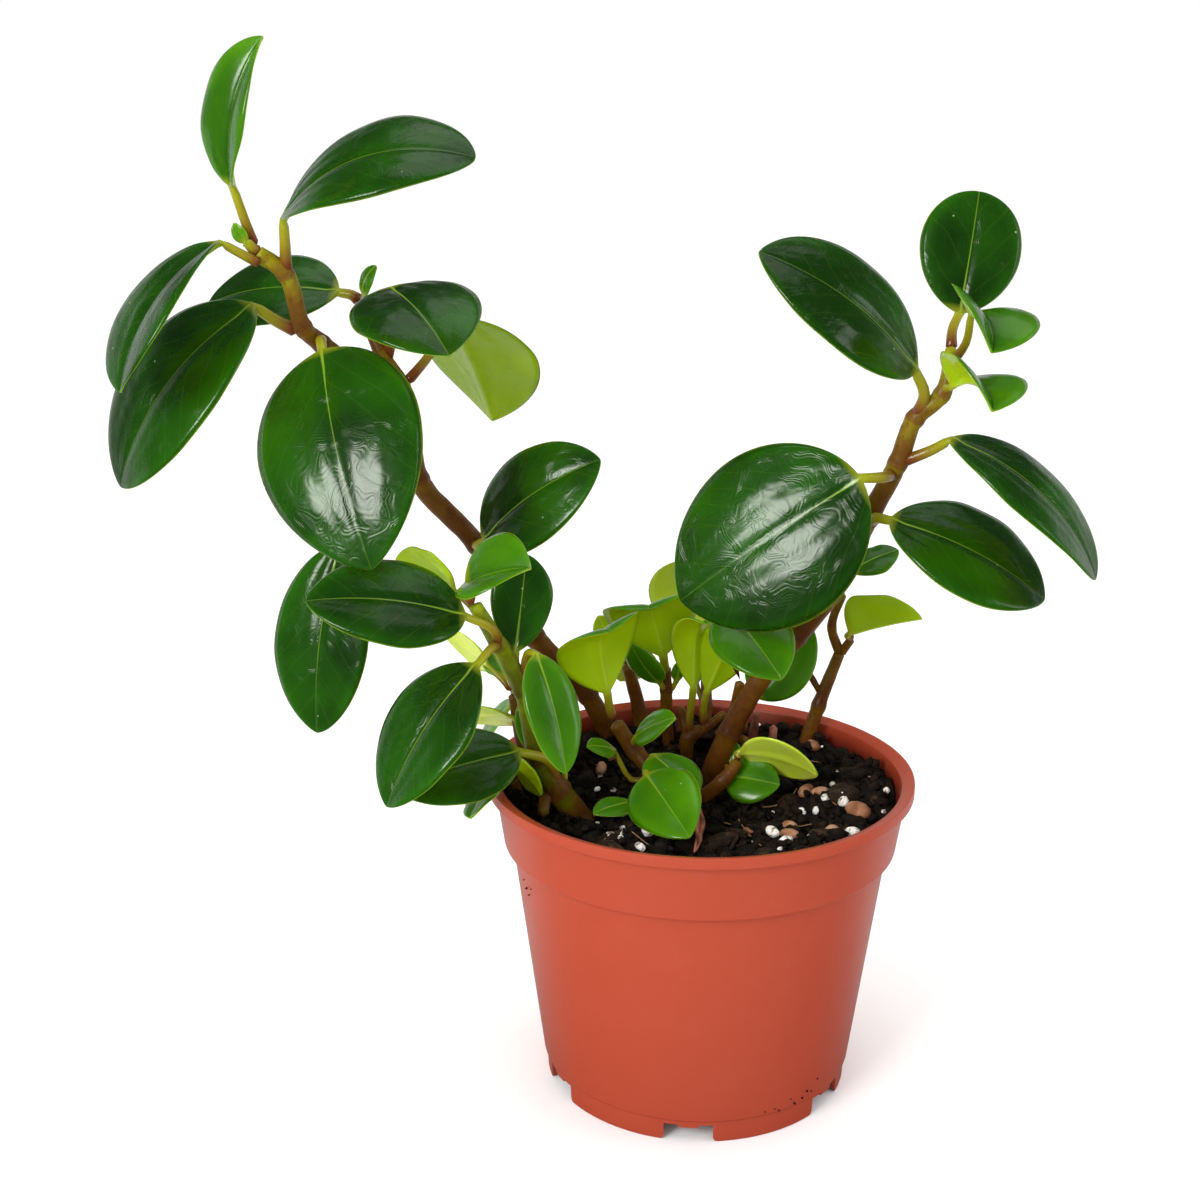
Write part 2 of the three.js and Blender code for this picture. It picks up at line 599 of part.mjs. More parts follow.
const shoots = {
  young_shoot_front: {
    stalks: [
      [[-2, 6, 77, 2.9], [-12, 9, 87, 2.6], [-18, 13, 92, 2.5], [-24, 14, 101, 2.1]],
      [[-2, 6, 78, 2.4], [7, 5, 86, 2.1], [12, 7, 92, 1.6]],
    ],
    leaves: [
      {
        from: [-24, 14, 101], base: [-26, 12, 110], tip: [-25, 1, 132], width: 28,
        faces: [-0.45, 0.6, 0.3], arch: 108, peak: 0.7, fold: 10, petiole: 1.3, droop: 4,
        baseTaper: 0.9, tipTaper: 0.5, hook: 3,
      },
      {
        from: [-18, 13, 92], base: [-18, 11, 97], tip: [-7, 0, 107], width: 11,
        faces: [-0.4, -0.5, 0.75], petiole: 1.0, columns: 2,
      },
      {
        from: [-12, 9, 86], via: [-19, 11, 84], base: [-24, 14, 92], tip: [-32, 9, 95], width: 8,
        faces: [0, -0.5, 0.9], petiole: 0.9, columns: 2,
      },
      {
        from: [-12, 9, 87], base: [-13, 7, 93], tip: [-2, -8, 86], width: 17,
        faces: [0.3, -0.6, 0.75], petiole: 1.1,
      },
      {
        from: [-12, 9, 87], base: [-15, -3, 91], tip: [-4.2, -30, 84], width: 21,
        faces: [-0.3, -0.6, 0.75], peak: 0.4, petiole: 1.1,
      },
      {
        from: [-12, 9, 86], base: [-19, -4, 83], tip: [-30, -12, 83], width: 9,
        faces: [0, -0.3, 0.95], petiole: 1.0, columns: 2,
      },
      {
        from: [12, 7, 92], base: [12, 7, 94], tip: [33, -3, 91], width: 20,
        faces: [0.2, 0.8, 0.6], arch: 40, petiole: 1.4,
      },
      {
        from: [7, 5, 86], base: [8, 9, 86], tip: [23, 2, 86], width: 15,
        faces: [0.2, -0.8, 0.6], petiole: 1.0,
      },
    ],
  },
  young_shoot_middle: {
    stalks: [
      [[-7, 43, 76, 2.1], [-8, 42, 101, 1.9], [-8, 42, 109, 1.4]],
    ],
    leaves: [
      {
        from: [-8, 42, 101], base: [-9, 40, 112], tip: [-14, 29, 130], width: 29,
        faces: [0, 0.95, 0.3], arch: 118, peak: 0.7, fold: 12, petiole: 1.4, droop: 2,
        baseTaper: 0.9, tipTaper: 0.5, hook: 3,
      },
      {
        from: [-8, 42, 100], base: [-10, 40, 104], tip: [-19, 35, 118], width: 11,
        faces: [-0.5, -0.7, 0.2], petiole: 1.0, columns: 2,
      },
      {
        from: [-8, 42, 100], base: [-5, 41, 104], tip: [-4, 40, 111], width: 4,
        faces: [0, -0.9, 0.2], petiole: 0.8, columns: 2,
      },
    ],
  },
  young_shoot_right: {
    stalks: [
      [[-2, 38, 77, 2.4], [-1, 38, 87, 2.3], [4, 38, 90, 1.6]],
      [[-1, 38, 86, 1.5], [5, 37, 91, 1.4], [10, 36, 96, 1.2]],
      [[-1, 38, 86, 1.7], [-3, 41, 93, 1.5], [-4, 41, 96, 1.2]],
    ],
    leaves: [
      {
        from: [-1, 38, 87], base: [0, 36, 103], tip: [3, 28, 126], width: 15,
        faces: [-0.3, 0.9, 0.3], arch: 105, peak: 0.68, fold: 26, petiole: 1.2, droop: -6,
        baseTaper: 0.9, tipTaper: 0.45, hook: 3,
      },
      {
        from: [4, 38, 90], base: [4, 36, 102], tip: [10, 27, 120], width: 17,
        faces: [0.2, 0.9, 0.3], arch: 105, peak: 0.68, fold: 26, petiole: 1.2, droop: -6,
        baseTaper: 0.9, tipTaper: 0.45, hook: 3,
      },
    ],
  },
  young_shoot_left: {
    stalks: [[[-14, 47, 76, 2.5], [-16, 48, 92, 2.3], [-20, 47, 108, 1.9]]],
    leaves: [
      {
        from: [-20, 47, 108], base: [-24, 44, 115], tip: [-28.8, 46, 123.3], width: 8,
        faces: [-0.3, 0.9, 0.2], petiole: 1.0, columns: 2,
      },
      {
        from: [-20, 47, 108], base: [-14, 53, 110], tip: [-22, 62, 97], width: 15,
        faces: [0, 0.9, 0.4], petiole: 1.0,
      },
    ],
  },
  young_shoot_back: {
    stalks: [[[4, 47, 77, 2.1], [5, 52, 92, 1.9], [5, 58, 106, 1.5]]],
    leaves: [
      {
        from: [5, 58, 106], base: [6.5, 60, 111], tip: [-1, 64, 136], width: 31,
        faces: [0, 0.95, 0.2], arch: 118, peak: 0.6, petiole: 1.5, hook: 3, fold: 8, droop: 6,
      },
      {
        from: [5, 52, 92], base: [2, 56, 98], tip: [-1, 62, 108], width: 7,
        faces: [0, 0.9, 0.3], petiole: 0.9, columns: 2,
      },
    ],
  },
  young_shoot_under_right: {
    stalks: [[[14, 34, 76, 2.0], [15, 32, 90, 1.7]]],
    leaves: [
      {
        from: [15, 32, 90], base: [18, 33, 102], tip: [35, 35, 123], width: 20,
        faces: [-0.3, -0.9, 0.3], arch: 30, petiole: 1.2,
      },
    ],
  },
  young_shoot_under_leaf: {
    stalks: [[[7, 31, 77, 2.0], [11, 28, 95, 1.7], [13, 24, 110, 1.4]]],
    leaves: [
      {
        from: [13, 24, 110], base: [8, 13, 134], tip: [21, -11, 122], width: 23,
        faces: [-0.1, -0.55, 0.8], arch: 40, fold: 14, petiole: 1.2,
      },
    ],
  },
  young_shoot_far_left: {
    stalks: [
      [[-44, 8, 76, 2.0], [-50, 6, 94, 1.8], [-53, 8, 112, 1.4]],
    ],
    leaves: [
      {
        from: [-50, 6, 94], base: [-53, 6, 105], tip: [-69, 14, 100.5], width: 21,
        faces: [-0.2, 0.7, 0.7], arch: 40, petiole: 1.0,
      },
      {
        from: [-53, 8, 112], base: [-50, 2, 112], tip: [-43, 2, 93], width: 11,
        faces: [0.3, -0.9, 0.2], petiole: 1.0, columns: 2,
      },
      {
        from: [-53, 8, 112], base: [-60, 12, 118], tip: [-73, 22, 124], width: 15,
        faces: [0.2, 0.8, 0.6], petiole: 1.0,
      },
      {
        from: [-53, 8, 112], base: [-55, 10, 116], tip: [-60, 18, 121], width: 9,
        faces: [0, -0.5, 0.8], petiole: 0.9, columns: 2,
      },
    ],
  },
  young_shoot_low_left: {
    stalks: [[[-49, 1, 77, 1.7], [-53, -4, 91, 1.4]]],
    leaves: [
      {
        from: [-53, -5, 91], base: [-52.7, -9.5, 97.2], tip: [-44.2, -15.5, 90.3], width: 19,
        faces: [0.1, 0.7, 0.7], arch: 40, petiole: 1.0, columns: 2,
      },
      {
        from: [-52, -5, 91], base: [-55.5, -13.5, 94], tip: [-62.6, -30, 89.6], width: 13,
        faces: [-0.3, 0.4, 0.9], petiole: 1.0, columns: 2,
      },
    ],
  },
  young_shoot_back_left: {
    stalks: [[[-41, 26, 77, 1.9], [-48, 30, 97, 1.6]]],
    leaves: [
      {
        from: [-48, 30, 97], base: [-54, 33, 100], tip: [-67, 40, 66], width: 22,
        faces: [-0.8, 0, 0.3], arch: 60, petiole: 1.1,
      },
    ],
  },
};

function makeShoot(shoot, grown = 0) {
  const [standing, ...branches] = shoot.stalks;
  const stalks = joined([rooted(standing), ...branches].map((joints) => stem(joints, grown)));
  if (grown > 0) return stalks;
  return joined([stalks, ...shoot.leaves.map((leaf) => leafSolid({ rows: 4, ...leaf }))]);
}

// The potting mix: a filled cone with a lumpy top, heaped against the wall at the back, pebbles on
// it, and a plain hole for every stem

// Each pebble is [x, y, radius]
const pebbles = [
  [34, 12, 2.2],
  [41, 3, 2.0],
  [36, -14, 2.0],
  [22, -21, 2.6],
  [28, -3, 2.0],
  [-18, -15, 2.4],
  [-25, -17, 1.8],
  [-6, -42, 2.4],
  [36, 30, 2.1],
  [-28, 26, 2.2],
];

function mixTop(x, y) {
  const rolling = Math.sin(0.13 * x + 1.1) * Math.cos(0.11 * y - 0.4);
  const lumps = Math.sin(0.37 * x - 0.6) * Math.sin(0.41 * y + 0.9);
  const backward = THREE.MathUtils.smoothstep(y, HEAP_FRONT, HEAP_BACK);
  const outward = THREE.MathUtils.smoothstep(Math.hypot(x, y), HEAP_INSIDE, HEAP_OUTSIDE);
  return MIX_LEVEL + MIX_SWELL * (rolling + 0.45 * lumps) + MIX_HEAP * backward * outward;
}

function makeMix() {
  const bodyTop = COLLAR_TOP_RADIUS - COLLAR_DRAFT - COLLAR_STEP - WALL;
  const wallTop = bodyTop + (MIX_LEVEL - POT_HEIGHT + COLLAR_HEIGHT) * 0.1;
  const profile = [
    [0, FOOT_HEIGHT + GAP],
    [FOOT_RADIUS + FOOT_STEP - WALL - 1 - GAP, FOOT_HEIGHT + GAP],
    [bodyTop - GAP, POT_HEIGHT - COLLAR_HEIGHT - 2],
    [wallTop - GAP, MIX_LEVEL],
  ];
  for (let ring = MIX_RINGS - 1; ring >= 0; ring -= 1) {
    profile.push([wallTop * ring / MIX_RINGS, MIX_LEVEL]);
  }
  const geometry = turned(profile, MIX_FACETS);
  const place = geometry.attributes.position;
  for (let i = 0; i < place.count; i += 1) {
    if (place.getZ(i) > MIX_LEVEL - 0.01) place.setZ(i, mixTop(place.getX(i), place.getY(i)));
  }
  let mix = solidOf(geometry);
  for (const [x, y, radius] of pebbles) {
    const pebble = new THREE.IcosahedronGeometry(radius, 0).scale(1.2, 1, 0.8);
    pebble.rotateZ(x).translate(x, y, mixTop(x, y) + radius * 0.25);
    mix = mix.add(solidOf(pebble));
  }
  for (const name of Object.keys(stemSets)) mix = mix.subtract(stemSolid(name, GAP));
  for (const shoot of Object.values(shoots)) mix = mix.subtract(makeShoot(shoot, GAP));
  return mix;
}

addPiece('pot', makePot(), 'pot');
addPiece('potting_mix', makeMix(), 'mix');
for (const [stemName, leaves] of Object.entries(leafSets)) {
  const budding = buds[stemName].map((bud) => leafSolid({ rows: 4, columns: 2, ...bud }));
  addPiece(stemName, joined([stemSolid(stemName), ...budding]), 'stem');
  const grownStem = stemSolid(stemName, GAP);
  for (const [leafName, leaf] of Object.entries(leaves)) {
    addPiece(leafName, leafSolid(leaf).subtract(grownStem), 'leaf');
  }
}
for (const [name, shoot] of Object.entries(shoots)) addPiece(name, makeShoot(shoot), 'young');

// The origin is the middle of the whole plant's footprint
const middle = new THREE.Box3().setFromObject(plant).getCenter(new THREE.Vector3());
for (const mesh of plant.children) mesh.geometry.translate(-middle.x, -middle.y, 0);

export default plant;
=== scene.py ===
# A potted peperomia: a fleshy, round-leaved house plant in a moulded plastic nursery pot.
# Sizes are in millimetres about the pot's axis, with the floor at zero, until a piece is set down.
import math
import random

import bmesh
import bpy
from mathutils import Matrix, Vector, noise


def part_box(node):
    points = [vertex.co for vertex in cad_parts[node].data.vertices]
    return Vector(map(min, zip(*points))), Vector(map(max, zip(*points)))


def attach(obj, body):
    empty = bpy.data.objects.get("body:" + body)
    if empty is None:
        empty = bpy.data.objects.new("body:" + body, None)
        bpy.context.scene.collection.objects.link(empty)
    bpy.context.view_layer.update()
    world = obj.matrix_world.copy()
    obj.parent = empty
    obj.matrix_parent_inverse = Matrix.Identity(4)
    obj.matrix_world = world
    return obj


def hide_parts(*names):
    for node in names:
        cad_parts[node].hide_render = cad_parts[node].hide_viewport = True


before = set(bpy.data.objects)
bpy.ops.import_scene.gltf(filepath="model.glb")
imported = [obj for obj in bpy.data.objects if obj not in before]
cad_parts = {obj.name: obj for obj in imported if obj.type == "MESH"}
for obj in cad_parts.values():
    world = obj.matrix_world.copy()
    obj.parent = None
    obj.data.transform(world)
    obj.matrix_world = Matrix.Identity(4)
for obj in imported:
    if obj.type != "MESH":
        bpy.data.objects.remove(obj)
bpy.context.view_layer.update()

# The view
# The camera looks down a little on the pot's mouth, from not quite half a metre in front of it.
MM = 0.001
pot_low, pot_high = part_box("pot")
POT_AXIS = Vector(((pot_low.x + pot_high.x) / 2, (pot_low.y + pot_high.y) / 2, 0))
INTO_PLACE = Matrix.Translation(POT_AXIS) @ Matrix.Scale(MM, 4)
VIEW_POINT = (-28.2, -440.3, 267.3)
VIEW_PITCH = 15.95
camera = bpy.data.cameras.new("view")
camera.lens = 50
camera.sensor_width = 36
camera.clip_start = 0.01
viewer = bpy.data.objects.new("view", camera)
viewer.location = INTO_PLACE @ Vector(VIEW_POINT)
viewer.rotation_euler = (math.radians(90 - VIEW_PITCH), 0, 0)
bpy.context.scene.collection.objects.link(viewer)
bpy.context.scene.camera = viewer
bpy.context.scene.view_settings.view_transform = "Standard"


def feed(tree, made, sockets):
    """Gives each socket of a node a value, or the output that feeds it."""
    for key, value in sockets.items():
        if isinstance(value, bpy.types.NodeSocket):
            tree.links.new(value, made.inputs[key])
        else:
            made.inputs[key].default_value = value


def node(tree, kind, sockets=None, **settings):
    """Adds a shader node with its settings, and feeds its sockets."""
    made = tree.nodes.new(kind)
    for name, value in settings.items():
        setattr(made, name, value)
    feed(tree, made, sockets or {})
    return made


def maths(tree, operation, *values):
    """The outcome of an operation such as MULTIPLY on the values."""
    return node(tree, "ShaderNodeMath", dict(enumerate(values)), operation=operation).outputs[0]


def ranged(tree, value, low, high, to_low=0, to_high=1):
    """A value carried from one range into another, and kept inside it."""
    return node(tree, "ShaderNodeMapRange", {
        "Value": value, "From Min": low, "From Max": high, "To Min": to_low, "To Max": to_high,
    }).outputs[0]


def linear(hexcode, alpha=1):
    """An sRGB colour such as #c4512f as linear light."""
    channels = [int(hexcode[i:i + 2], 16) / 255 for i in (1, 3, 5)]
    light = [c / 12.92 if c <= 0.04045 else ((c + 0.055) / 1.055) ** 2.4 for c in channels]
    return (*light, alpha)


def blend(tree, share, under, over):
    """One colour with a share of another laid over it. Each is an output or a hexcode."""
    under, over = (linear(c) if isinstance(c, str) else c for c in (under, over))
    return node(tree, "ShaderNodeMix", {0: share, 6: under, 7: over}, data_type="RGBA").outputs[2]


def tinted(tree, value, shades):
    """The colour of a value among the shades, which are (value, hexcode)."""
    made = node(tree, "ShaderNodeValToRGB", {"Fac": value})
    ramp = made.color_ramp
    while len(ramp.elements) < len(shades):
        ramp.elements.new(1)
    for element, (position, hexcode) in zip(ramp.elements, shades):
        element.position = position
        element.color = linear(hexcode)
    return made.outputs[0]


def cloudy(tree, coords, scale, detail, roughness=0.5, distortion=0):
    """Cloudy noise between 0 and 1. scale is its waves to one unit of the coordinates."""
    return node(tree, "ShaderNodeTexNoise", {
        "Vector": coords, "Scale": scale, "Detail": detail, "Roughness": roughness,
        "Distortion": distortion,
    }).outputs["Fac"]


def bumpy(tree, height, strength, distance, below=None):
    """Bumps of a distance in metres for the whole range of the height, on top of those below."""
    sockets = {"Height": height, "Strength": strength, "Distance": distance}
    return node(tree, "ShaderNodeBump", sockets | ({"Normal": below} if below else {})).outputs[0]


def coordinates(tree):
    """Places on the piece, in metres."""
    return node(tree, "ShaderNodeTexCoord").outputs["Object"]


# The studio
# A white floor under an even white sky, a soft box to the front left, a broad dim one overhead
# and a narrow one to the right. Glossy skins mirror the boxes, a dim room in front and the bright
# sweep behind the plant, not the even sky.
SKY_LIGHT = 1.12
ROOM_MIRRORED = 0.03
SWEEP_MIRRORED = 0.62
world = bpy.data.worlds.new("white studio")
world.use_nodes = True
sky = world.node_tree
sky.nodes.clear()
ray = node(sky, "ShaderNodeLightPath").outputs
direction = node(sky, "ShaderNodeTexCoord").outputs["Generated"]
parts = node(sky, "ShaderNodeSeparateXYZ", {0: direction}).outputs
sweep = maths(sky, "MULTIPLY", ranged(sky, parts["Y"], 0, 0.45), ranged(sky, parts["Z"], 0.5, 0.2))
mirrored = ranged(sky, sweep, 0, 1, ROOM_MIRRORED, SWEEP_MIRRORED)
lit = node(sky, "ShaderNodeMix", {"Factor": ray["Is Glossy Ray"], "A": SKY_LIGHT, "B": mirrored})
strength = node(sky, "ShaderNodeMix", {"Factor": ray["Is Camera Ray"], "A": lit.outputs[0], "B": 1})
glow = node(sky, "ShaderNodeBackground", {"Color": (1, 1, 1, 1), "Strength": strength.outputs[0]})
node(sky, "ShaderNodeOutputWorld", {"Surface": glow.outputs[0]})
bpy.context.scene.world = world


def soft_box(name, place, aim, width, height, radiance):
    """An area light at a place, in millimetres, turned to its aim, as bright as its face shows."""
    lamp = bpy.data.lights.new(name, "AREA")
    lamp.shape = "RECTANGLE"
    lamp.size = width * MM
    lamp.size_y = height * MM
    lamp.energy = radiance * math.pi * lamp.size * lamp.size_y
    box = bpy.data.objects.new(name, lamp)
    box.location = INTO_PLACE @ Vector(place)
    towards = Vector(aim) - Vector(place)
    box.rotation_euler = towards.to_track_quat("-Z", "Y").to_euler()
    box.visible_camera = False
    bpy.context.scene.collection.objects.link(box)


MIDDLE = (-20, 0, 150)
soft_box("front soft box", (-620, -760, 560), MIDDLE, 420, 420, 14)
soft_box("overhead soft box", (100, 250, 1100), MIDDLE, 900, 600, 0.7)
soft_box("side soft box", (900, -150, 420), MIDDLE, 240, 700, 2.2)


def material(name):
    """A new material, its node tree and its shader."""
    made = bpy.data.materials.new(name)
    made.use_nodes = True
    return made, made.node_tree, made.node_tree.nodes["Principled BSDF"]


# White paper, which glossy rays see as a painted glow, as dim as the room in front and bright as the
# sweep behind.
ground = bmesh.new()
bmesh.ops.create_circle(ground, cap_ends=True, segments=96, radius=6)
floor_mesh = bpy.data.meshes.new("floor")
ground.to_mesh(floor_mesh)
ground.free()
floor = bpy.data.objects.new("floor", floor_mesh)
bpy.context.scene.collection.objects.link(floor)
paper, tree, shader = material("white paper sweep")
feed(tree, shader, {"Base Color": (0.96, 0.96, 0.96, 1), "Roughness": 1, "Specular IOR Level": 0})
ray = node(tree, "ShaderNodeLightPath").outputs
backwards = node(tree, "ShaderNodeSeparateXYZ", {0: coordinates(tree)}).outputs["Y"]
shade = ranged(tree, backwards, -0.04, 0.05, ROOM_MIRRORED, SWEEP_MIRRORED)
# Painted glow: the floor glows for glossy rays only, as a painted reflection of the room and the sweep.
mirrored = node(tree, "ShaderNodeEmission", {"Strength": shade}).outputs[0]
seen = node(tree, "ShaderNodeMixShader", {
    0: ray["Is Glossy Ray"], 1: shader.outputs[0], 2: mirrored,
}).outputs[0]
tree.links.new(seen, tree.nodes["Material Output"].inputs["Surface"])
floor_mesh.materials.append(paper)

# The pot
# One injection-moulded shell of terracotta-coloured polypropylene: a rolled rim, a tall collar to
# grip it by, a tapering wall and a foot ring with six notches that let water out from under it.
RIM_RADIUS = 60
POT_HEIGHT = 91.8
LIP_WIDTH = 3.6
LIP_HEIGHT = 3.3
COLLAR_HEIGHT = 19.7
COLLAR_TOP = 57.8
COLLAR_BOTTOM = 55.5
COLLAR_STEP = 2.3
FOOT_RADIUS = 43.7
FOOT_HEIGHT = 6.6
FOOT_STEP = 0.9
WALL = 1.6
FLOOR_THICKNESS = 1.4
NOTCH_COUNT = 6
NOTCH_WIDTH = 13.5
NOTCH_HEIGHT = 5.2
NOTCH_FLARE = 1.4
NOTCH_TAB = 2.7
NOTCH_TAB_DROP = 0.8
NOTCH_REACH = 3
FIRST_NOTCH = -95.5
DRAIN_COUNT = 6
DRAIN_RADIUS = 3.5
DRAIN_CIRCLE = 27
DRAIN_CUT = 6
MOULD_RADIUS = 0.45
TURNS = 192


def eased(corners, radius, steps=3):
    """An outline with every inner corner rounded by up to the radius."""
    points = [corners[0]]
    for before, corner, after in zip(corners, corners[1:], corners[2:]):
        ahead = min(radius, 0.4 * (after - corner).length)
        behind = min(radius, 0.4 * (before - corner).length)
        start = corner + (before - corner).normalized() * behind
        end = corner + (after - corner).normalized() * ahead
        for step in range(steps + 1):
            part = step / steps
            points.append(start.lerp(corner, part).lerp(corner.lerp(end, part), part))
    return points + [corners[-1]]


def turned(form, corners, radius, steps):
    """Spins an outline of (radius, height) corners once round the axis into a closed body."""
    outline = eased([Vector((x, 0, z)) for x, z in corners], radius)
    places = [form.verts.new(place) for place in outline]
    edges = [form.edges.new(pair) for pair in zip(places, places[1:])]
    bmesh.ops.spin(
        form, geom=places + edges, cent=(0, 0, 0), axis=(0, 0, 1), angle=math.tau, steps=steps,
        use_merge=True,
    )
    bmesh.ops.remove_doubles(form, verts=form.verts, dist=0.001)
    bmesh.ops.recalc_face_normals(form, faces=form.faces)


def placed(form, name):
    """A finished form as an object at the origin, in the frame's metres, shaded smooth."""
    form.transform(INTO_PLACE)
    mesh = bpy.data.meshes.new(name)
    form.to_mesh(mesh)
    form.free()
    mesh.shade_smooth()
    piece = bpy.data.objects.new(name, mesh)
    bpy.context.scene.collection.objects.link(piece)
    return piece


def dress(piece, finishes, nodes=()):
    """Gives a piece its materials, its body and the CAD nodes it stands for."""
    for finish in finishes:
        piece.data.materials.append(finish)
    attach(piece, "root")
    if nodes:
        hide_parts(*nodes)
    return piece


collar_z = POT_HEIGHT - COLLAR_HEIGHT
body_top = COLLAR_BOTTOM - COLLAR_STEP
foot_top = FOOT_RADIUS + FOOT_STEP
shell = bmesh.new()
turned(shell, [
    (0, FOOT_HEIGHT - FLOOR_THICKNESS),
    (FOOT_RADIUS - WALL - 0.4, FOOT_HEIGHT - FLOOR_THICKNESS),
    (FOOT_RADIUS - WALL, 0),
    (FOOT_RADIUS - 0.2, 0),
    (FOOT_RADIUS + 0.1, FOOT_HEIGHT),
    (foot_top, FOOT_HEIGHT + 0.3),
    (body_top, collar_z),
    (COLLAR_BOTTOM - 0.4, collar_z),
    (COLLAR_BOTTOM, collar_z + 0.5),
    (COLLAR_TOP, POT_HEIGHT - LIP_HEIGHT - 0.3),
    (RIM_RADIUS, POT_HEIGHT - LIP_HEIGHT),
    (RIM_RADIUS, POT_HEIGHT),
    (RIM_RADIUS - LIP_WIDTH, POT_HEIGHT - 1.2),
    (COLLAR_BOTTOM - WALL, collar_z + 1),
    (body_top - WALL, collar_z - 1),
    (foot_top - WALL, FOOT_HEIGHT + 1),
    (foot_top - WALL - 1, FOOT_HEIGHT),
    (0, FOOT_HEIGHT),
], MOULD_RADIUS, TURNS)
pot = placed(shell, "nursery_pot")

cutters = bmesh.new()
half = NOTCH_WIDTH / 2
top = NOTCH_HEIGHT
notch = [
    (-half - NOTCH_FLARE, -1), (half + NOTCH_FLARE, -1), (half + NOTCH_FLARE, 0),
    (half + 0.3 * NOTCH_FLARE, 0.3 * NOTCH_FLARE), (half, NOTCH_FLARE), (half, top), (NOTCH_TAB, top),
    (NOTCH_TAB, top - NOTCH_TAB_DROP), (-NOTCH_TAB, top - NOTCH_TAB_DROP), (-NOTCH_TAB, top),
    (-half, top), (-half, NOTCH_FLARE), (-half - 0.3 * NOTCH_FLARE, 0.3 * NOTCH_FLARE),
    (-half - NOTCH_FLARE, 0),
]
for i in range(NOTCH_COUNT):
    turn = Matrix.Rotation(math.radians(FIRST_NOTCH + i * 360 / NOTCH_COUNT), 3, "Z")
    corners = [turn @ Vector((FOOT_RADIUS - NOTCH_REACH, x, z)) for x, z in notch]
    face = cutters.faces.new([cutters.verts.new(corner) for corner in corners])
    swept = bmesh.ops.extrude_face_region(cutters, geom=[face])["geom"]
    outer = [part for part in swept if isinstance(part, bmesh.types.BMVert)]
    bmesh.ops.translate(cutters, verts=outer, vec=turn @ Vector((2 * NOTCH_REACH, 0, 0)))
for i in range(DRAIN_COUNT):
    angle = (i + 0.5) * math.tau / DRAIN_COUNT
    spot = Vector((DRAIN_CIRCLE * math.cos(angle), DRAIN_CIRCLE * math.sin(angle), FOOT_HEIGHT))
    bmesh.ops.create_cone(
        cutters, cap_ends=True, segments=24, radius1=DRAIN_RADIUS, radius2=DRAIN_RADIUS,
        depth=DRAIN_CUT, matrix=Matrix.Translation(spot),
    )
bmesh.ops.recalc_face_normals(cutters, faces=cutters.faces)
cutter = placed(cutters, "notch_cutter")
boolean = pot.modifiers.new("notches", "BOOLEAN")
boolean.object = cutter
boolean.solver = "EXACT"
cut_mesh = bpy.data.meshes.new_from_object(pot.evaluated_get(bpy.context.evaluated_depsgraph_get()))
pot.modifiers.clear()
pot.data = cut_mesh
bpy.data.objects.remove(cutter)
pot.data.set_sharp_from_angle(angle=math.radians(40))

# Each point of the wall is marked by whether it faces the pot's inside.
inside = pot.data.attributes.new("inside", "FLOAT", "POINT")
for corner in pot.data.vertices:
    outwards = Vector((corner.co.x - POT_AXIS.x, corner.co.y - POT_AXIS.y, 0))
    inside.data[corner.index].value = float(corner.normal.dot(outwards) < 0)

# Polypropylene, injection moulded in a lightly textured tool: an even satin skin with faint flow
# marks down the wall, a little paler where pots rub together, and darkened towards the foot as
# painted shade. The inside wall below the rim is painted dark brown, as painted shade.
POT_COLOUR = "#a63f26"
POT_PALE = "#b04a2e"
POT_FOOT_SHADE = "#86301c"
POT_INSIDE_SHADE = "#571809"
plastic, tree, shader = material("moulded polypropylene")
coords = coordinates(tree)
height = node(tree, "ShaderNodeSeparateXYZ", {"Vector": coords}).outputs["Z"]
worn = ranged(tree, cloudy(tree, coords, 90, 6, 0.7), 0.5, 0.85, 0, 0.35)
rubbed = blend(tree, worn, POT_COLOUR, POT_PALE)
# Painted shade: the wall is darkened towards the foot.
painted_foot_shade = blend(tree, ranged(tree, height, 0.06, 0, 0, 0.25), rubbed, POT_FOOT_SHADE)
facing = node(tree, "ShaderNodeAttribute", attribute_name="inside").outputs["Fac"]
# Painted shade: the inside wall is darkened from just below the rim downwards.
painted_inside_shade = maths(tree, "MULTIPLY", ranged(tree, height, 0.0915, 0.086, 0, 0.9), facing)
stretch = node(tree, "ShaderNodeMapping", {"Vector": coords, "Scale": (60, 60, 8)}).outputs[0]
bump = bumpy(tree, cloudy(tree, coords, 1800, 2), 0.06, 0.0004)
feed(tree, shader, {
    "Base Color": blend(tree, painted_inside_shade, painted_foot_shade, POT_INSIDE_SHADE),
    "Roughness": ranged(tree, worn, 0, 1, 0.34, 0.5),
    "Normal": bumpy(tree, cloudy(tree, stretch, 1, 3), 0.25, 0.0006, bump),
    "IOR": 1.5, "Subsurface Weight": 0.05, "Subsurface Radius": (0.004, 0.001, 0.0005),
})
dress(pot, [plastic], ["pot"])

# The potting mix
# Damp peat and fine bark that fills the pot to a finger's width below its rim, and is heaped up to
# the rim at the back. The bed is one body, and the clods, crumbs, grit and perlite lie loose on it.
MIX_LEVEL = 79
MIX_SWELL = 1.6
MIX_ROUGHNESS = 3.0
HEAP = 8.5
HEAP_FRONT = -30
HEAP_BACK = 10
HEAP_INSIDE = 26
HEAP_OUTSIDE = 52
BED_RADIUS = 54.2
BED_RINGS = 54
BED_TURNS = 150
WALL_SLOPE = 0.14
draw = random.Random(11)


def smooth(value):
    """Eases a share from 0 to 1 at both ends."""
    value = min(max(value, 0), 1)
    return value * value * (3 - 2 * value)


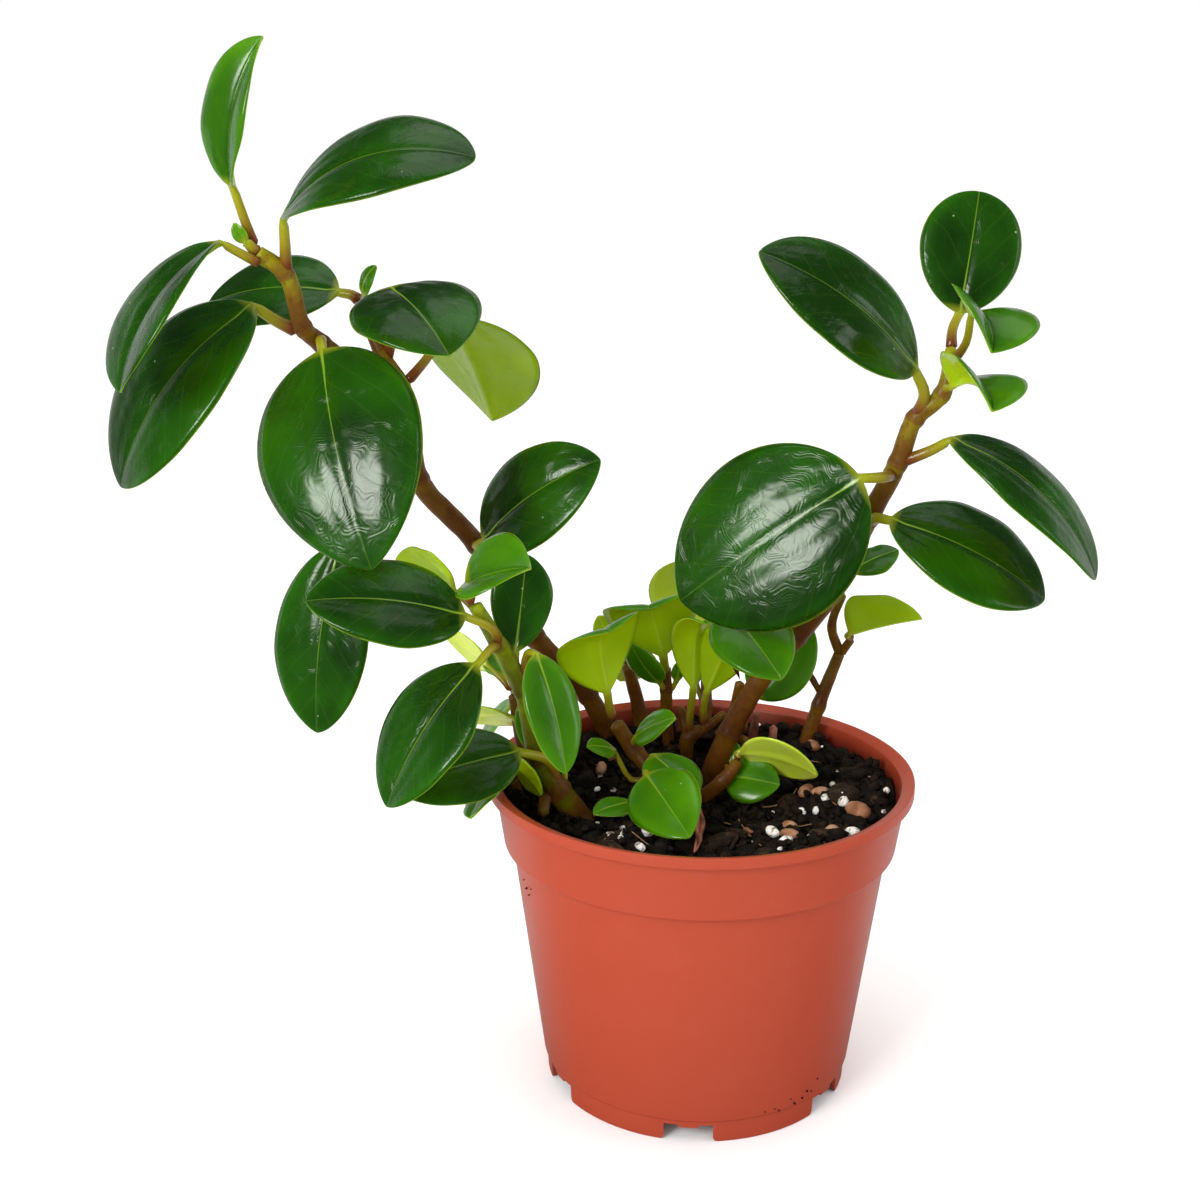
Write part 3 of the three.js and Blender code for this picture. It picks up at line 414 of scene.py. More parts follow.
def mix_top(x, y):
    """The height of the mix: a rolling middle, and the heap against the wall at the back."""
    rolling = math.sin(0.13 * x + 1.1) * math.cos(0.11 * y - 0.4)
    lumps = math.sin(0.37 * x - 0.6) * math.sin(0.41 * y + 0.9)
    backwards = (y - HEAP_FRONT) / (HEAP_BACK - HEAP_FRONT)
    outwards = (math.hypot(x, y) - HEAP_INSIDE) / (HEAP_OUTSIDE - HEAP_INSIDE)
    heap = HEAP * smooth(backwards) * smooth(outwards)
    return MIX_LEVEL + MIX_SWELL * (rolling + 0.45 * lumps) + heap


def mix_surface(x, y):
    """The height of the bed with its crumbly unevenness."""
    rough = noise.turbulence(Vector((x, y, 0)) * 0.22, 4, False)
    return mix_top(x, y) + MIX_ROUGHNESS * (rough - 0.6)


bed = bmesh.new()
rings = [(0, FOOT_HEIGHT + 0.3), (FOOT_RADIUS - WALL - 1, FOOT_HEIGHT + 0.3)]
rings += [(body_top - WALL - 0.4, collar_z - 2), (BED_RADIUS - 0.4, MIX_LEVEL - 3)]
rings += [(BED_RADIUS * ring / BED_RINGS, MIX_LEVEL) for ring in range(BED_RINGS, -1, -1)]
turned(bed, rings, 0, BED_TURNS)
for corner in bed.verts:
    if corner.co.z > MIX_LEVEL - 0.01:
        rise = mix_surface(corner.co.x, corner.co.y) - MIX_LEVEL
        reach = corner.co.xy.length / BED_RADIUS
        corner.co.xy *= 1 + WALL_SLOPE * rise * reach ** 6 / BED_RADIUS
        corner.co.z += rise
mix = placed(bed, "potting_mix_bed")


def lump(form, place, radius, facets, flat, rough):
    """One irregular lump: a coarse ball, stretched, dented and turned at random."""
    turn = Matrix.Rotation(draw.uniform(0, math.tau), 4, "Z")
    turn = turn @ Matrix.Rotation(draw.gauss(0, 0.5), 4, "X")
    stretch = Matrix.Diagonal((draw.uniform(0.8, 1.5), draw.uniform(0.7, 1.1), flat, 1))
    ball = bmesh.new()
    bmesh.ops.create_icosphere(ball, subdivisions=facets, radius=radius)
    whole = Matrix.Translation(place) @ turn @ stretch
    dented = [spot.co * (1 + draw.uniform(-rough, rough)) for spot in ball.verts]
    corners = [form.verts.new(whole @ place) for place in dented]
    for face in ball.faces:
        form.faces.new([corners[spot.index] for spot in face.verts])
    ball.free()


def scatter(form, count, size, facets, flat=0.7, rough=0.35, sink=0.25, inner=0):
    """Strews lumps over the bed: size gives the least and largest radius, flat their height."""
    low, high = size
    for _ in range(count):
        angle = draw.uniform(0, math.tau)
        reach = (BED_RADIUS - high) * math.sqrt(draw.uniform(inner, 1))
        x, y = reach * math.cos(angle), reach * math.sin(angle)
        radius = low + (high - low) * draw.random() ** 2.2
        lump(form, (x, y, mix_surface(x, y) + radius * (flat - sink)), radius, facets, flat, rough)


# The largest pieces of bark, as (x, y, radius).
LARGE_CHIPS = [(-25.5, -29.9, 5), (4.8, -17.6, 5.5), (28.1, -29.3, 5), (41.6, 1.4, 4.5), (16, -31, 4)]
crumbs = bmesh.new()
scatter(crumbs, 3600, (0.35, 1.9), 1, flat=0.65, rough=0.35)
scatter(crumbs, 260, (1.2, 3.4), 2, flat=0.6, rough=0.2, sink=0.35)
scatter(crumbs, 150, (1.2, 3.2), 2, flat=0.7, rough=0.22, sink=0.3, inner=0.7)
crumb_pile = placed(crumbs, "peat_crumbs")
chips = bmesh.new()
scatter(chips, 90, (1.6, 4.2), 2, flat=0.3, rough=0.14, sink=0.05)
for x, y, radius in LARGE_CHIPS:
    lump(chips, (x, y, mix_surface(x, y) + 1), radius, 3, 0.5, 0.07)
chip_pile = placed(chips, "bark_chips")

# Sphagnum peat, wet: nearly black with brown shreds, and dull.
PEAT_SHADES = [(0.34, "#070402"), (0.5, "#150c05"), (0.64, "#2a1a0d"), (0.8, "#4a3422")]
BARK_SHADES = [(0.3, "#150c06"), (0.5, "#2c1c10"), (0.65, "#48321f"), (0.8, "#6d523a")]


def crumbly(name, shades, blotches):
    """Matt earth whose colour and fine roughness change over blotches, counted per metre."""
    earth, tree, shader = material(name)
    coords = coordinates(tree)
    feed(tree, shader, {
        "Base Color": tinted(tree, cloudy(tree, coords, blotches, 6, 0.7), shades),
        "Normal": bumpy(tree, cloudy(tree, coords, 1500, 6), 1, 0.0007),
        "Roughness": 0.85, "Specular IOR Level": 0.25,
    })
    return earth


peat = crumbly("damp peat", PEAT_SHADES, 260)
dress(mix, [peat], ["potting_mix"])
dress(crumb_pile, [peat])

# Composted bark: browner chips with a stringy grain.
dress(chip_pile, [crumbly("composted bark", BARK_SHADES, 420)])

# Perlite: volcanic glass puffed into white foam beads and flakes, with a matt crazed skin. The beads
# are (x, y, radius).
BEADS = [
    (36.7, 4.6, 1.4), (40.5, -3.4, 1.7), (29.8, 3.3, 1.5), (33.4, 0.1, 1.2), (18.8, -20.5, 1.9),
    (22.5, -21.0, 1.7), (30.3, -15.3, 1.3), (41, -17.7, 1.8), (45.5, -13.1, 0.8), (20.2, -28, 0.7),
    (-29, -6.4, 0.9), (-17.5, -28.6, 1.7), (-25.2, -17.3, 1.5), (-21.8, -10.3, 0.9),
    (-21.6, -16.7, 1.0),
    (-16.8, -33.8, 1.1), (-16, -12.3, 0.9), (-15, -17.3, 2.3), (-4, -28.7, 0.9), (-0.4, -27.4, 0.9),
    (-33.2, 12.1, 0.7), (-29.1, 14.1, 0.9), (-24.4, 15.8, 0.9), (-28.2, 24.5, 0.9), (34.5, 19.6, 0.8),
    (39.7, 12.2, 1.0), (36.3, 20.6, 0.8), (41.5, 15.8, 0.7), (52.5, -4, 0.9),
    (51, -9, 0.8), (46, -16, 1.4),
]
beads = bmesh.new()
scatter(beads, 70, (0.3, 1.1), 2, flat=0.85, rough=0.12, sink=0.3)
for x, y, radius in BEADS:
    lump(beads, (x, y, mix_surface(x, y) + 0.75 * radius), radius, 3, 0.8, 0.05)
perlite_beads = placed(beads, "perlite_beads")
perlite, tree, shader = material("expanded perlite")
coords = coordinates(tree)
pits = node(tree, "ShaderNodeTexVoronoi", {"Vector": coords, "Scale": 1600}).outputs["Distance"]
dirt = cloudy(tree, coords, 420, 4, distortion=1)
feed(tree, shader, {
    "Base Color": tinted(tree, dirt, [(0.36, "#6f5c4c"), (0.45, "#d8d0c6"), (0.55, "#f2eee8")]),
    "Normal": bumpy(tree, pits, 0.6, 0.0004), "Roughness": 0.8,
})
dress(perlite_beads, [perlite])

# Grit: river pebbles a few millimetres across, tan to pink, worn smooth and half buried, as
# (x, y, radius).
PEBBLES = [
    (32, 12.6, 2.4), (35.9, 9.7, 2.0), (39.3, -1.0, 2.0), (35.7, -15.9, 2.5), (43.8, -9.5, 3.0),
    (23.5, -18, 2.5), (24.5, -13, 2.1), (-12.6, -10.1, 1.6), (-19.3, -39, 2.4), (13.1, -10.8, 1.2),
    (-20, -34, 2.0), (36, 30, 2.1), (-28, 26, 2.2), (-8, -36, 1.3),
]
grit = bmesh.new()
for x, y, radius in PEBBLES:
    lump(grit, (x, y, mix_surface(x, y) + 0.5 * radius), radius, 3, 0.75, 0.035)
bmesh.ops.smooth_vert(grit, verts=grit.verts, factor=0.5)
pebbles = placed(grit, "grit_pebbles")
stone, tree, shader = material("river grit")
coords = coordinates(tree)
stone_shades = [(0.35, "#7b4a2c"), (0.48, "#a56f4c"), (0.6, "#bd9277"), (0.72, "#74452c")]
feed(tree, shader, {
    "Base Color": tinted(tree, cloudy(tree, coords, 160, 5), stone_shades),
    "Normal": bumpy(tree, cloudy(tree, coords, 2500, 3), 0.5, 0.0004), "Roughness": 0.6,
})
dress(pebbles, [stone])

# The stems
# Fleshy and brittle, as thick as a pencil, with a swollen ring wherever a leaf grows or grew. Each
# length between two rings is olive green under the upper ring and browner towards the lower one,
# and the oldest, lowest lengths are brown all over.
NODE_SWELL = 0.13
NODE_RING = 1.5
GROOVE_DEPTH = 0.05
GROOVE_BELOW_NODE = 2.4
GROOVE_WIDTH = 0.5
BARK_BUMPS = 0.05
RIB_DEPTH = 0.02
RIB_COUNT = 4
END_DRAW = 0.7
STEM_STEP = 1.1
STEM_SIDES = 22
STEM_ROOT_DEPTH = 18
ROOT_DRAW = 0.86
ROOT_TAPER = 0.8
MARKS = ("across", "along", "margin", "upper", "stalk", "age", "ring", "rise")


def new_form():
    """An empty bmesh whose points carry the marks that the plant's materials read."""
    form = bmesh.new()
    for mark in MARKS:
        form.verts.layers.float.new(mark)
    return form


def grown(form, name):
    """A form of the plant's as an object, with its faces turned outwards."""
    bmesh.ops.recalc_face_normals(form, faces=form.faces)
    return placed(form, name)


def wrapped(form, rows, skin=0):
    """Rolls a grid into a closed tube. Each row is a loop of (place, marks), the last like the first."""
    across = len(rows[0])
    cells = dict(x_segments=across - 1, y_segments=len(rows) - 1)
    grid = bmesh.ops.create_grid(form, size=1, **cells)["verts"]
    layers = {mark: form.verts.layers.float[mark] for mark in MARKS}
    for corner, (place, marks) in zip(grid, (cell for row in rows for cell in row)):
        corner.co = place
        for mark, value in marks.items():
            corner[layers[mark]] = value
    for face in {face for corner in grid for face in corner.link_faces}:
        face.material_index = skin
    seams = {grid[i * across + across - 1]: grid[i * across] for i in range(len(rows))}
    ends = [grid[:across - 1], grid[(len(rows) - 1) * across:-1]]
    bmesh.ops.weld_verts(form, targetmap=seams)
    for end in ends:
        middle = sum((corner.co for corner in end), Vector()) / len(end)
        bmesh.ops.pointmerge(form, verts=end, merge_co=middle)


def course(points):
    """A smooth line through the points, as a function of its share from 0 to 1."""
    track = [Vector(point[:3]) for point in points]
    track = [2 * track[0] - track[1], *track, 2 * track[-1] - track[-2]]
    spans = len(track) - 3

    def at(share):
        i = min(int(share * spans), spans - 1)
        part = share * spans - i
        a, b, c, d = track[i:i + 4]
        before, along, after = (math.sqrt((q - p).length) or 1e-4 for p, q in ((a, b), (b, c), (c, d)))
        out = ((b - a) / before - (c - a) / (before + along) + (c - b) / along) * along
        into = ((c - b) / along - (d - b) / (along + after) + (d - c) / after) * along
        square, cube = part * part, part ** 3
        return (
            b * (2 * cube - 3 * square + 1) + out * (cube - 2 * square + part)
            + c * (3 * square - 2 * cube) + into * (cube - square)
        )

    return at


def add_stem(form, joints, sides=STEM_SIDES, skin=0):
    """A stem through its joints, each (x, y, z, radius, age), where age is 1 on old brown wood."""
    line = course(joints)
    last = len(joints) - 1
    rows = []
    across = Vector((0, 1, 0.2))
    walked = 0
    before = line(0)
    for i in range(last):
        span = (Vector(joints[i + 1][:3]) - Vector(joints[i][:3])).length
        steps = max(2, round(span / STEM_STEP))
        for step in range(steps + (i == last - 1)):
            part = step / steps
            share = (i + part) / last
            here = line(share)
            walked += (here - before).length
            before = here
            tangent = (line(min(share + 0.01, 1)) - line(max(share - 0.01, 0))).normalized()
            across = (across - tangent * across.dot(tangent)).normalized()
            up = tangent.cross(across)
            below, above = part * span, (1 - part) * span
            rings = [below] * (i > 0) + [above] * (i < last - 1)
            near = min(rings, default=99)
            ring = math.exp(-(near / NODE_RING) ** 2)
            groove = GROOVE_DEPTH * math.exp(-((above - GROOVE_BELOW_NODE) / GROOVE_WIDTH) ** 2)
            groove *= i < last - 1
            radius = joints[i][3] + (joints[i + 1][3] - joints[i][3]) * part
            if share > 0.995:
                radius *= END_DRAW
            age = joints[i][4] + (joints[i + 1][4] - joints[i][4]) * part
            row = []
            for k in range(sides + 1):
                angle = math.tau * (k % sides) / sides
                spin = across * math.cos(angle) + up * math.sin(angle)
                bark = BARK_BUMPS * noise.noise((here + spin * radius) * 0.35)
                ribs = RIB_DEPTH * math.sin(RIB_COUNT * angle + 0.1 * walked)
                reach = radius * (1 + NODE_SWELL * ring - groove + bark + ribs)
                marks = {
                    "along": walked, "age": age, "ring": ring, "rise": part if i > 0 else 0.5,
                    "across": angle,
                }
                row.append((here + spin * reach, marks))
            rows.append(row)
    wrapped(form, rows, skin)


def rooted(joints):
    """The joints with the buried end below the first one, drawn in from the pot's wall."""
    x, y, z, radius, age = joints[0]
    return [(x * ROOT_DRAW, y * ROOT_DRAW, z - STEM_ROOT_DEPTH, radius * ROOT_TAPER, age), *joints]


# A living stem: a thin waxy skin over green flesh, corky and brown with age, with a satin gloss,
# fine streaks along it and a thin pale scar round each ring. Greenness is a length's rise less age.
RIPE_SHADES = [
    (0.08, "#46220a"), (0.32, "#5c350a"), (0.5, "#664608"), (0.66, "#746006"), (0.86, "#8c8a04"),
]
GREEN_SHADES = [
    (0.1, "#46240a"), (0.32, "#553608"), (0.46, "#555204"), (0.7, "#667005"), (0.92, "#849206"),
]


def read_marks(tree):
    """The marks of the plant's points, by name."""
    read = {mark: node(tree, "ShaderNodeAttribute", attribute_name=mark) for mark in MARKS}
    return {mark: reader.outputs["Fac"] for mark, reader in read.items()}


def rind_finish(name, shades):
    """Stem skin that runs through the shades from its oldest wood to its newest green."""
    finish, tree, shader = material(name)
    marks = read_marks(tree)
    coords = coordinates(tree)
    fresher = maths(tree, "MULTIPLY_ADD", marks["rise"], 0.6, 0.2)
    newness = maths(tree, "SUBTRACT", fresher, marks["age"])
    wander = maths(tree, "MULTIPLY_ADD", cloudy(tree, coords, 260, 6, 0.7), 1.3, newness)
    skin = tinted(tree, ranged(tree, wander, -0.35, 1.65), shades)
    scarred = blend(tree, ranged(tree, marks["ring"], 0.86, 1, 0, 0.16), skin, "#8a7040")
    pores = node(tree, "ShaderNodeTexVoronoi", {"Vector": coords, "Scale": 520}).outputs["Distance"]
    stretch = node(tree, "ShaderNodeMapping", {"Vector": coords, "Scale": (1200, 1200, 160)})
    streaks = cloudy(tree, stretch.outputs[0], 1, 4)
    feed(tree, shader, {
        "Base Color": blend(tree, ranged(tree, pores, 0.1, 0.22, 0.5, 0), scarred, "#2c170c"),
        "Normal": bumpy(tree, streaks, 0.4, 0.0004), "Roughness": 0.34, "Specular IOR Level": 0.22,
        "Subsurface Weight": 0.08, "Subsurface Radius": (0.003, 0.002, 0.0006),
    })
    return finish


ripe_rind = rind_finish("brown stem rind", RIPE_SHADES)
green_rind = rind_finish("green stem rind", GREEN_SHADES)

# The joints of each stem, as (x, y, z, radius, age).
left_back_trunk = [
    (-22, 43, 76, 3.2, 1.0), (-32, 40, 100, 3.1, 1.0), (-48, 36, 120, 3.1, 1.0),
    (-64, 28, 150.3, 2.9, 0.9), (-79.4, 22, 170.6, 2.9, 0.75), (-81, 20, 185, 2.7, 0.6),
]
left_back_left_fork = [
    (-81, 20, 183, 2.7, 0.6), (-88, 16, 196, 2.6, 0.55), (-102.9, 9, 210.4, 2.5, 0.75),
    (-106.9, 4, 215.5, 2.4, 0.65), (-109.9, 0, 229.4, 2.2, 0.25), (-117.4, -2, 235.7, 2.1, 0.0),
]
left_back_right_fork = [
    (-81, 20, 183, 2.4, 0.8), (-83, 22, 197, 1.9, 0.75), (-89.5, 24, 207, 1.8, 0.6),
    (-95, 28, 220, 1.6, 0.4),
]
left_front_stem = [
    (-34, -3, 77, 4.0, 0.95), (-40, -7, 88, 3.7, 0.85), (-45, -9, 98, 2.9, 0.5),
    (-49, -14, 120, 2.5, 0.2), (-55, -18, 134, 2.3, 0.1), (-61, -23, 147, 1.9, 0.0),
]
left_front_stub = [(-38, -6, 86, 2.2, 0.9), (-43, -9, 87, 1.9, 0.9), (-44, -14, 83, 1.5, 1.0)]
right_stem = [
    (4, 22, 76, 3.5, 1.0), (10, 21, 95, 3.2, 1.0), (20, 18, 115, 3.0, 1.0),
    (28, 16, 126, 3.0, 0.95), (37, 13, 140, 3.1, 0.9), (46, 8, 163, 2.9, 0.7),
    (52.5, 4, 178.9, 2.6, 0.55), (56.1, 2, 191.3, 2.4, 0.4), (62.6, 0, 198.3, 2.2, 0.2),
    (64.5, 0, 211.3, 1.6, 0.0),
]
thin_trunk = [(32, 35, 77, 2.3, 1.0), (38, 36, 98, 2.1, 0.9), (44, 37, 115, 1.7, 0.7)]
thin_left_fork = [(44, 37, 114, 1.6, 0.7), (41, 36, 123, 1.3, 0.6), (44, 35, 134, 1.2, 0.4)]
thin_right_fork = [(44, 37, 114, 1.5, 0.7), (47, 34, 120, 1.2, 0.5)]
thin_twig = [(39, 36, 101, 1.0, 0.8), (36, 37, 106, 0.9, 0.8), (34, 38, 110, 0.7, 0.8)]

stem_sets = {
    "stem_left_back": [rooted(left_back_trunk), left_back_left_fork, left_back_right_fork],
    "stem_left_front": [rooted(left_front_stem), left_front_stub],
    "stem_right": [rooted(right_stem)],
    "stem_right_thin": [rooted(thin_trunk), thin_left_fork, thin_right_fork, thin_twig],
}
for stem_name, parts in stem_sets.items():
    form = new_form()
    for joints in parts:
        add_stem(form, joints)
    finish = green_rind if stem_name == "stem_left_front" else ripe_rind
    dress(grown(form, stem_name + "_rind"), [finish], [stem_name])

# The leaves
# Thick, smooth and waxy, each with its stalk in one piece: deep green above with a paler midrib in
# a shallow groove, yellow green below, and a thin pale margin painted on as a highlight along the rim.

# A leaf's stalk runs from its root to its base, by way of via if that is given, and its blade from
# the base to the tip, with the upper side turned to faces. In degrees, arch is how far the midrib
# turns on its way, fold how steeply the halves rise from it, and droop how far their edges hang.
# A hook above 1 gathers the arch near the tip, peak is where the blade is widest, a low taper makes
# that end blunt, wave is how much it ripples, and petiole is the stalk's radius.
LEAF_DEFAULTS = dict(
    arch=30, hook=1, fold=8, droop=14, peak=0.45, base_taper=0.62, tip_taper=0.7, petiole=1.5,
    via=None, wave=0.5, rows=40, stalk_rows=8, columns=26,
)
BLADE_THICKNESS = 1.0
STALK_BEND = 0.35
# The grooves along a blade, as (share of the half width out from the midrib, depth). They are
# shallower on a leaf that is narrower than FURROWED_WIDTH.
FURROWS = [(0.0, 0.5), (0.42, 0.22), (0.76, 0.14)]
FURROW_WIDTH = 1.5
FURROWED_WIDTH = 30


def measures(root, base, tip, width, faces, **rest):
    """One leaf as add_leaf reads it, with its measures as set out above."""
    return dict(root=root, base=base, tip=tip, width=width, faces=faces, **rest)


def midrib_curve(chord, arch, hook):
    """The curve of a midrib over its chord: a function of t that gives along, above and slope."""
    steps = 24
    track = [(0, 0)]
    for i in range(steps):
        slope = -arch * ((i + 0.5) / steps) ** hook
        track.append((track[-1][0] + math.cos(slope), track[-1][1] + math.sin(slope)))
    turn = -math.atan2(track[-1][1], track[-1][0])
    scale = chord / math.hypot(*track[-1])

    def at(t):
        i = min(int(t * steps), steps - 1)
        part = t * steps - i
        along = track[i][0] + (track[i + 1][0] - track[i][0]) * part
        above = track[i][1] + (track[i + 1][1] - track[i][1]) * part
        return (
            scale * (along * math.cos(turn) - above * math.sin(turn)),
            scale * (along * math.sin(turn) + above * math.cos(turn)),
            turn - arch * t ** hook,
        )

    return at


def blade_share(t, peak, base_taper, tip_taper):
    """The share of the full width that a blade has at a place t along it."""
    reach = (peak - t) / peak if t < peak else (t - peak) / (1 - peak)
    return max(0, 1 - reach * reach) ** (base_taper if t < peak else tip_taper)


def add_leaf(form, leaf, skin=0):
    """A leaf as a tube of loops: round the stalk first, then flattened over the blade."""
    shape = {**LEAF_DEFAULTS, **leaf}
    base, root = Vector(shape["base"]), Vector(shape["root"][:3])
    chord = Vector(shape["tip"]) - base
    forward = chord.normalized()
    face = Vector(shape["faces"])
    up = (face - forward * face.dot(forward)).normalized()
    right = forward.cross(up)
    fold, droop = math.radians(shape["fold"]), math.radians(shape["droop"])
    midrib = midrib_curve(chord.length, math.radians(shape["arch"]), shape["hook"])
    swing = (base - forward * STALK_BEND * (base - root).length).lerp(root, STALK_BEND)
    stalk = course([root, Vector(shape["via"] or swing), base])
    width, thick, columns = shape["width"], shape["petiole"], shape["columns"]
    shallow = min(1, width / FURROWED_WIDTH)
    half_turn = [math.pi * (1 - k / columns) for k in range(2 * columns)]
    seed = Vector((base.x, base.y, base.z)) * 0.37
    rows = []
    for i in range(shape["stalk_rows"]):
        t = i / shape["stalk_rows"]
        tangent = (stalk(min(t + 0.02, 1)) - stalk(max(t - 0.02, 0))).normalized()
        side = (right - tangent * right.dot(tangent)).normalized()
        top = side.cross(tangent)
        radius = thick * (1.12 - 0.25 * t + 0.25 * (1 - t) ** 6)
        row = []
        for angle in half_turn:
            spot = stalk(t) + side * radius * math.cos(angle) + top * radius * math.sin(angle) * 0.95
            marks = {
                "across": radius * math.cos(angle), "along": (t - 1) * (base - root).length,
                "margin": 2, "upper": 0.5 + 0.5 * math.sin(angle), "stalk": 1 - t,
            }
            row.append((spot, marks))
        rows.append(row + row[:1])
    for i in range(shape["rows"] + 1):
        t = (1 - math.cos(math.pi * i / shape["rows"])) / 2
        least = (1.7 * thick * (1 - smooth(t / 0.12)) + 0.5) / width
        share = max(blade_share(t, shape["peak"], shape["base_taper"], shape["tip_taper"]), least)
        along, above, slope = midrib(t)
        lifted = up * math.cos(slope) - forward * math.sin(slope)
        centre = base + forward * along + up * above
        flat = smooth(t / 0.1)
        half = 0.5 * BLADE_THICKNESS * (1 - 0.35 * t)
        row = []
        for k, angle in enumerate(half_turn):
            s = -1 + 2 * k / columns if k <= columns else 3 - 2 * k / columns
            u = (1 - flat) * math.cos(angle) + flat * s * (0.82 + 0.18 * s * s)
            spread = abs(u) * share
            tilt = fold - (fold + droop) * spread / 2
            lean = fold - (fold + droop) * spread
            reach = u * share * width / 2
            ripple = shape["wave"] * noise.noise(seed + Vector((u * 1.6, t * 4, 0))) * spread * 1.6
            furrow = 0.0
            for place, depth in FURROWS:
                gap = (abs(u) - place * (1 - 0.3 * t)) * width / 2
                furrow += depth * math.exp(-(gap / FURROW_WIDTH) ** 2) * flat * (1 - t ** 3) * shallow
            rim = max(0, 1 - abs(u) ** 7) ** 0.5
            rounded = (1 - flat) * 0.65 * thick * abs(math.sin(angle))
            pressed = flat * half * (0.25 + 0.75 * rim) * (abs(u) < 0.9999)
            sign = 1 if 0 < k < columns else -1 if k > columns else 0
            over = lifted * math.cos(lean) - right * math.copysign(math.sin(lean), u)
            raised = abs(reach) * math.sin(tilt) + ripple - furrow
            spot = centre + right * reach * math.cos(tilt) + lifted * raised
            marks = {
                "across": reach, "along": along, "margin": (1 - abs(u)) * share * width / 2,
                "upper": 0.5 + 0.5 * sign, "stalk": 0,
            }
            row.append((spot + over * (rounded + pressed) * sign, marks))
        rows.append(row + row[:1])
    wrapped(form, rows, skin)


def leaf_finish(name, deep, fresh, below, glow, wrinkle, clear):
    """Waxy leaf skin, read from the marks. wrinkle is its roughness, and clear lets light through."""
    finish, tree, shader = material(name)
    marks = read_marks(tree)
    coords = coordinates(tree)

    # Above: cloudy green, fresher towards the rim
    cloud = cloudy(tree, coords, 34, 2)
    ripe = maths(tree, "ADD", cloud, ranged(tree, marks["margin"], 0, 4, 0.16, 0))
    green = tinted(tree, ripe, [(0.4, deep), (0.72, fresh)])

    # The midrib: broad at the stalk, and a thin line that fades towards the tip
    off_rib = maths(tree, "ABSOLUTE", marks["across"])
    nearness = maths(tree, "DIVIDE", off_rib, ranged(tree, marks["along"], 0, 12, 0.62, 0.22))
    rib = ranged(tree, nearness, 0.4, 1.1, 1, 0)
    faded_rib = maths(tree, "MULTIPLY", rib, ranged(tree, marks["along"], 2, 44, 0.75, 0.12))

    # The side veins: hardly to be seen, slanting forwards from the midrib
    slant = maths(tree, "MULTIPLY_ADD", off_rib, -1.25, marks["along"])
    warped = maths(tree, "MULTIPLY_ADD", cloud, 14, slant)
    vein = ranged(tree, maths(tree, "PINGPONG", warped, VEIN_SPACING / 2), 0, 0.5, 0.035, 0)
    veined = blend(tree, maths(tree, "MAXIMUM", faded_rib, vein), green, RIB_GREEN)

    # Dust: one pale speck here and there
    cells = node(tree, "ShaderNodeTexVoronoi", {"Vector": coords, "Scale": 210}).outputs
    dot = ranged(tree, cells["Distance"], 0.03, 0.07, 0.6, 0)
    dusty = maths(tree, "MULTIPLY", dot, maths(tree, "GREATER_THAN", cells["Color"], 0.72))
    above = blend(tree, dusty, veined, "#b9c6a0")

    # Below: paler, with clouds of a brighter painted glow for light coming through, and a raised pale
    # midrib
    flesh = blend(tree, ranged(tree, cloud, 0.4, 0.65), below, glow)
    under = blend(tree, maths(tree, "MULTIPLY", rib, 0.3), flesh, "#c3cf4a")
    sides = blend(tree, ranged(tree, marks["upper"], 0.35, 0.65), under, above)

    # The hem, a painted highlight along the rim, and the stalk, which reddens towards its foot
    # Painted highlight: a pale hem laid along the leaf's margin.
    hem_highlighted = blend(tree, ranged(tree, marks["margin"], 0.08, 0.4, 0.5, 0), sides, RIB_GREEN)
    stalk = tinted(tree, marks["stalk"], STALK_SHADES)
    on_stalk = ranged(tree, marks["along"], -0.5, 2.5, 1, 0)

    # Puckers a few millimetres across, ringed by fine creases in the wax
    puckers = cloudy(tree, coords, 120, 1, distortion=0.8)
    creases = maths(tree, "SINE", maths(tree, "MULTIPLY", puckers, CREASE_RINGS))
    swell = bumpy(tree, puckers, 0.3 + 0.5 * wrinkle, 0.0009)
    feed(tree, shader, {
        "Base Color": blend(tree, on_stalk, hem_highlighted, stalk),
        "Normal": bumpy(tree, creases, wrinkle, 0.000022, swell),
        "Roughness": 0.25, "IOR": 1.42, "Specular Tint": (0.93, 1, 0.85, 1),
        "Coat Weight": 0.3, "Coat Roughness": 0.1,
        "Subsurface Weight": clear, "Subsurface Radius": (0.0018, 0.0024, 0.0003),
    })
    return finish


VEIN_SPACING = 8.5
CREASE_RINGS = 90
RIB_GREEN = "#7fa02a"
STALK_SHADES = [
    (0.0, "#8f9316"), (0.45, "#877a16"), (0.8, "#6a3616"), (0.95, "#5b2913"), (1.0, "#35180b"),
]
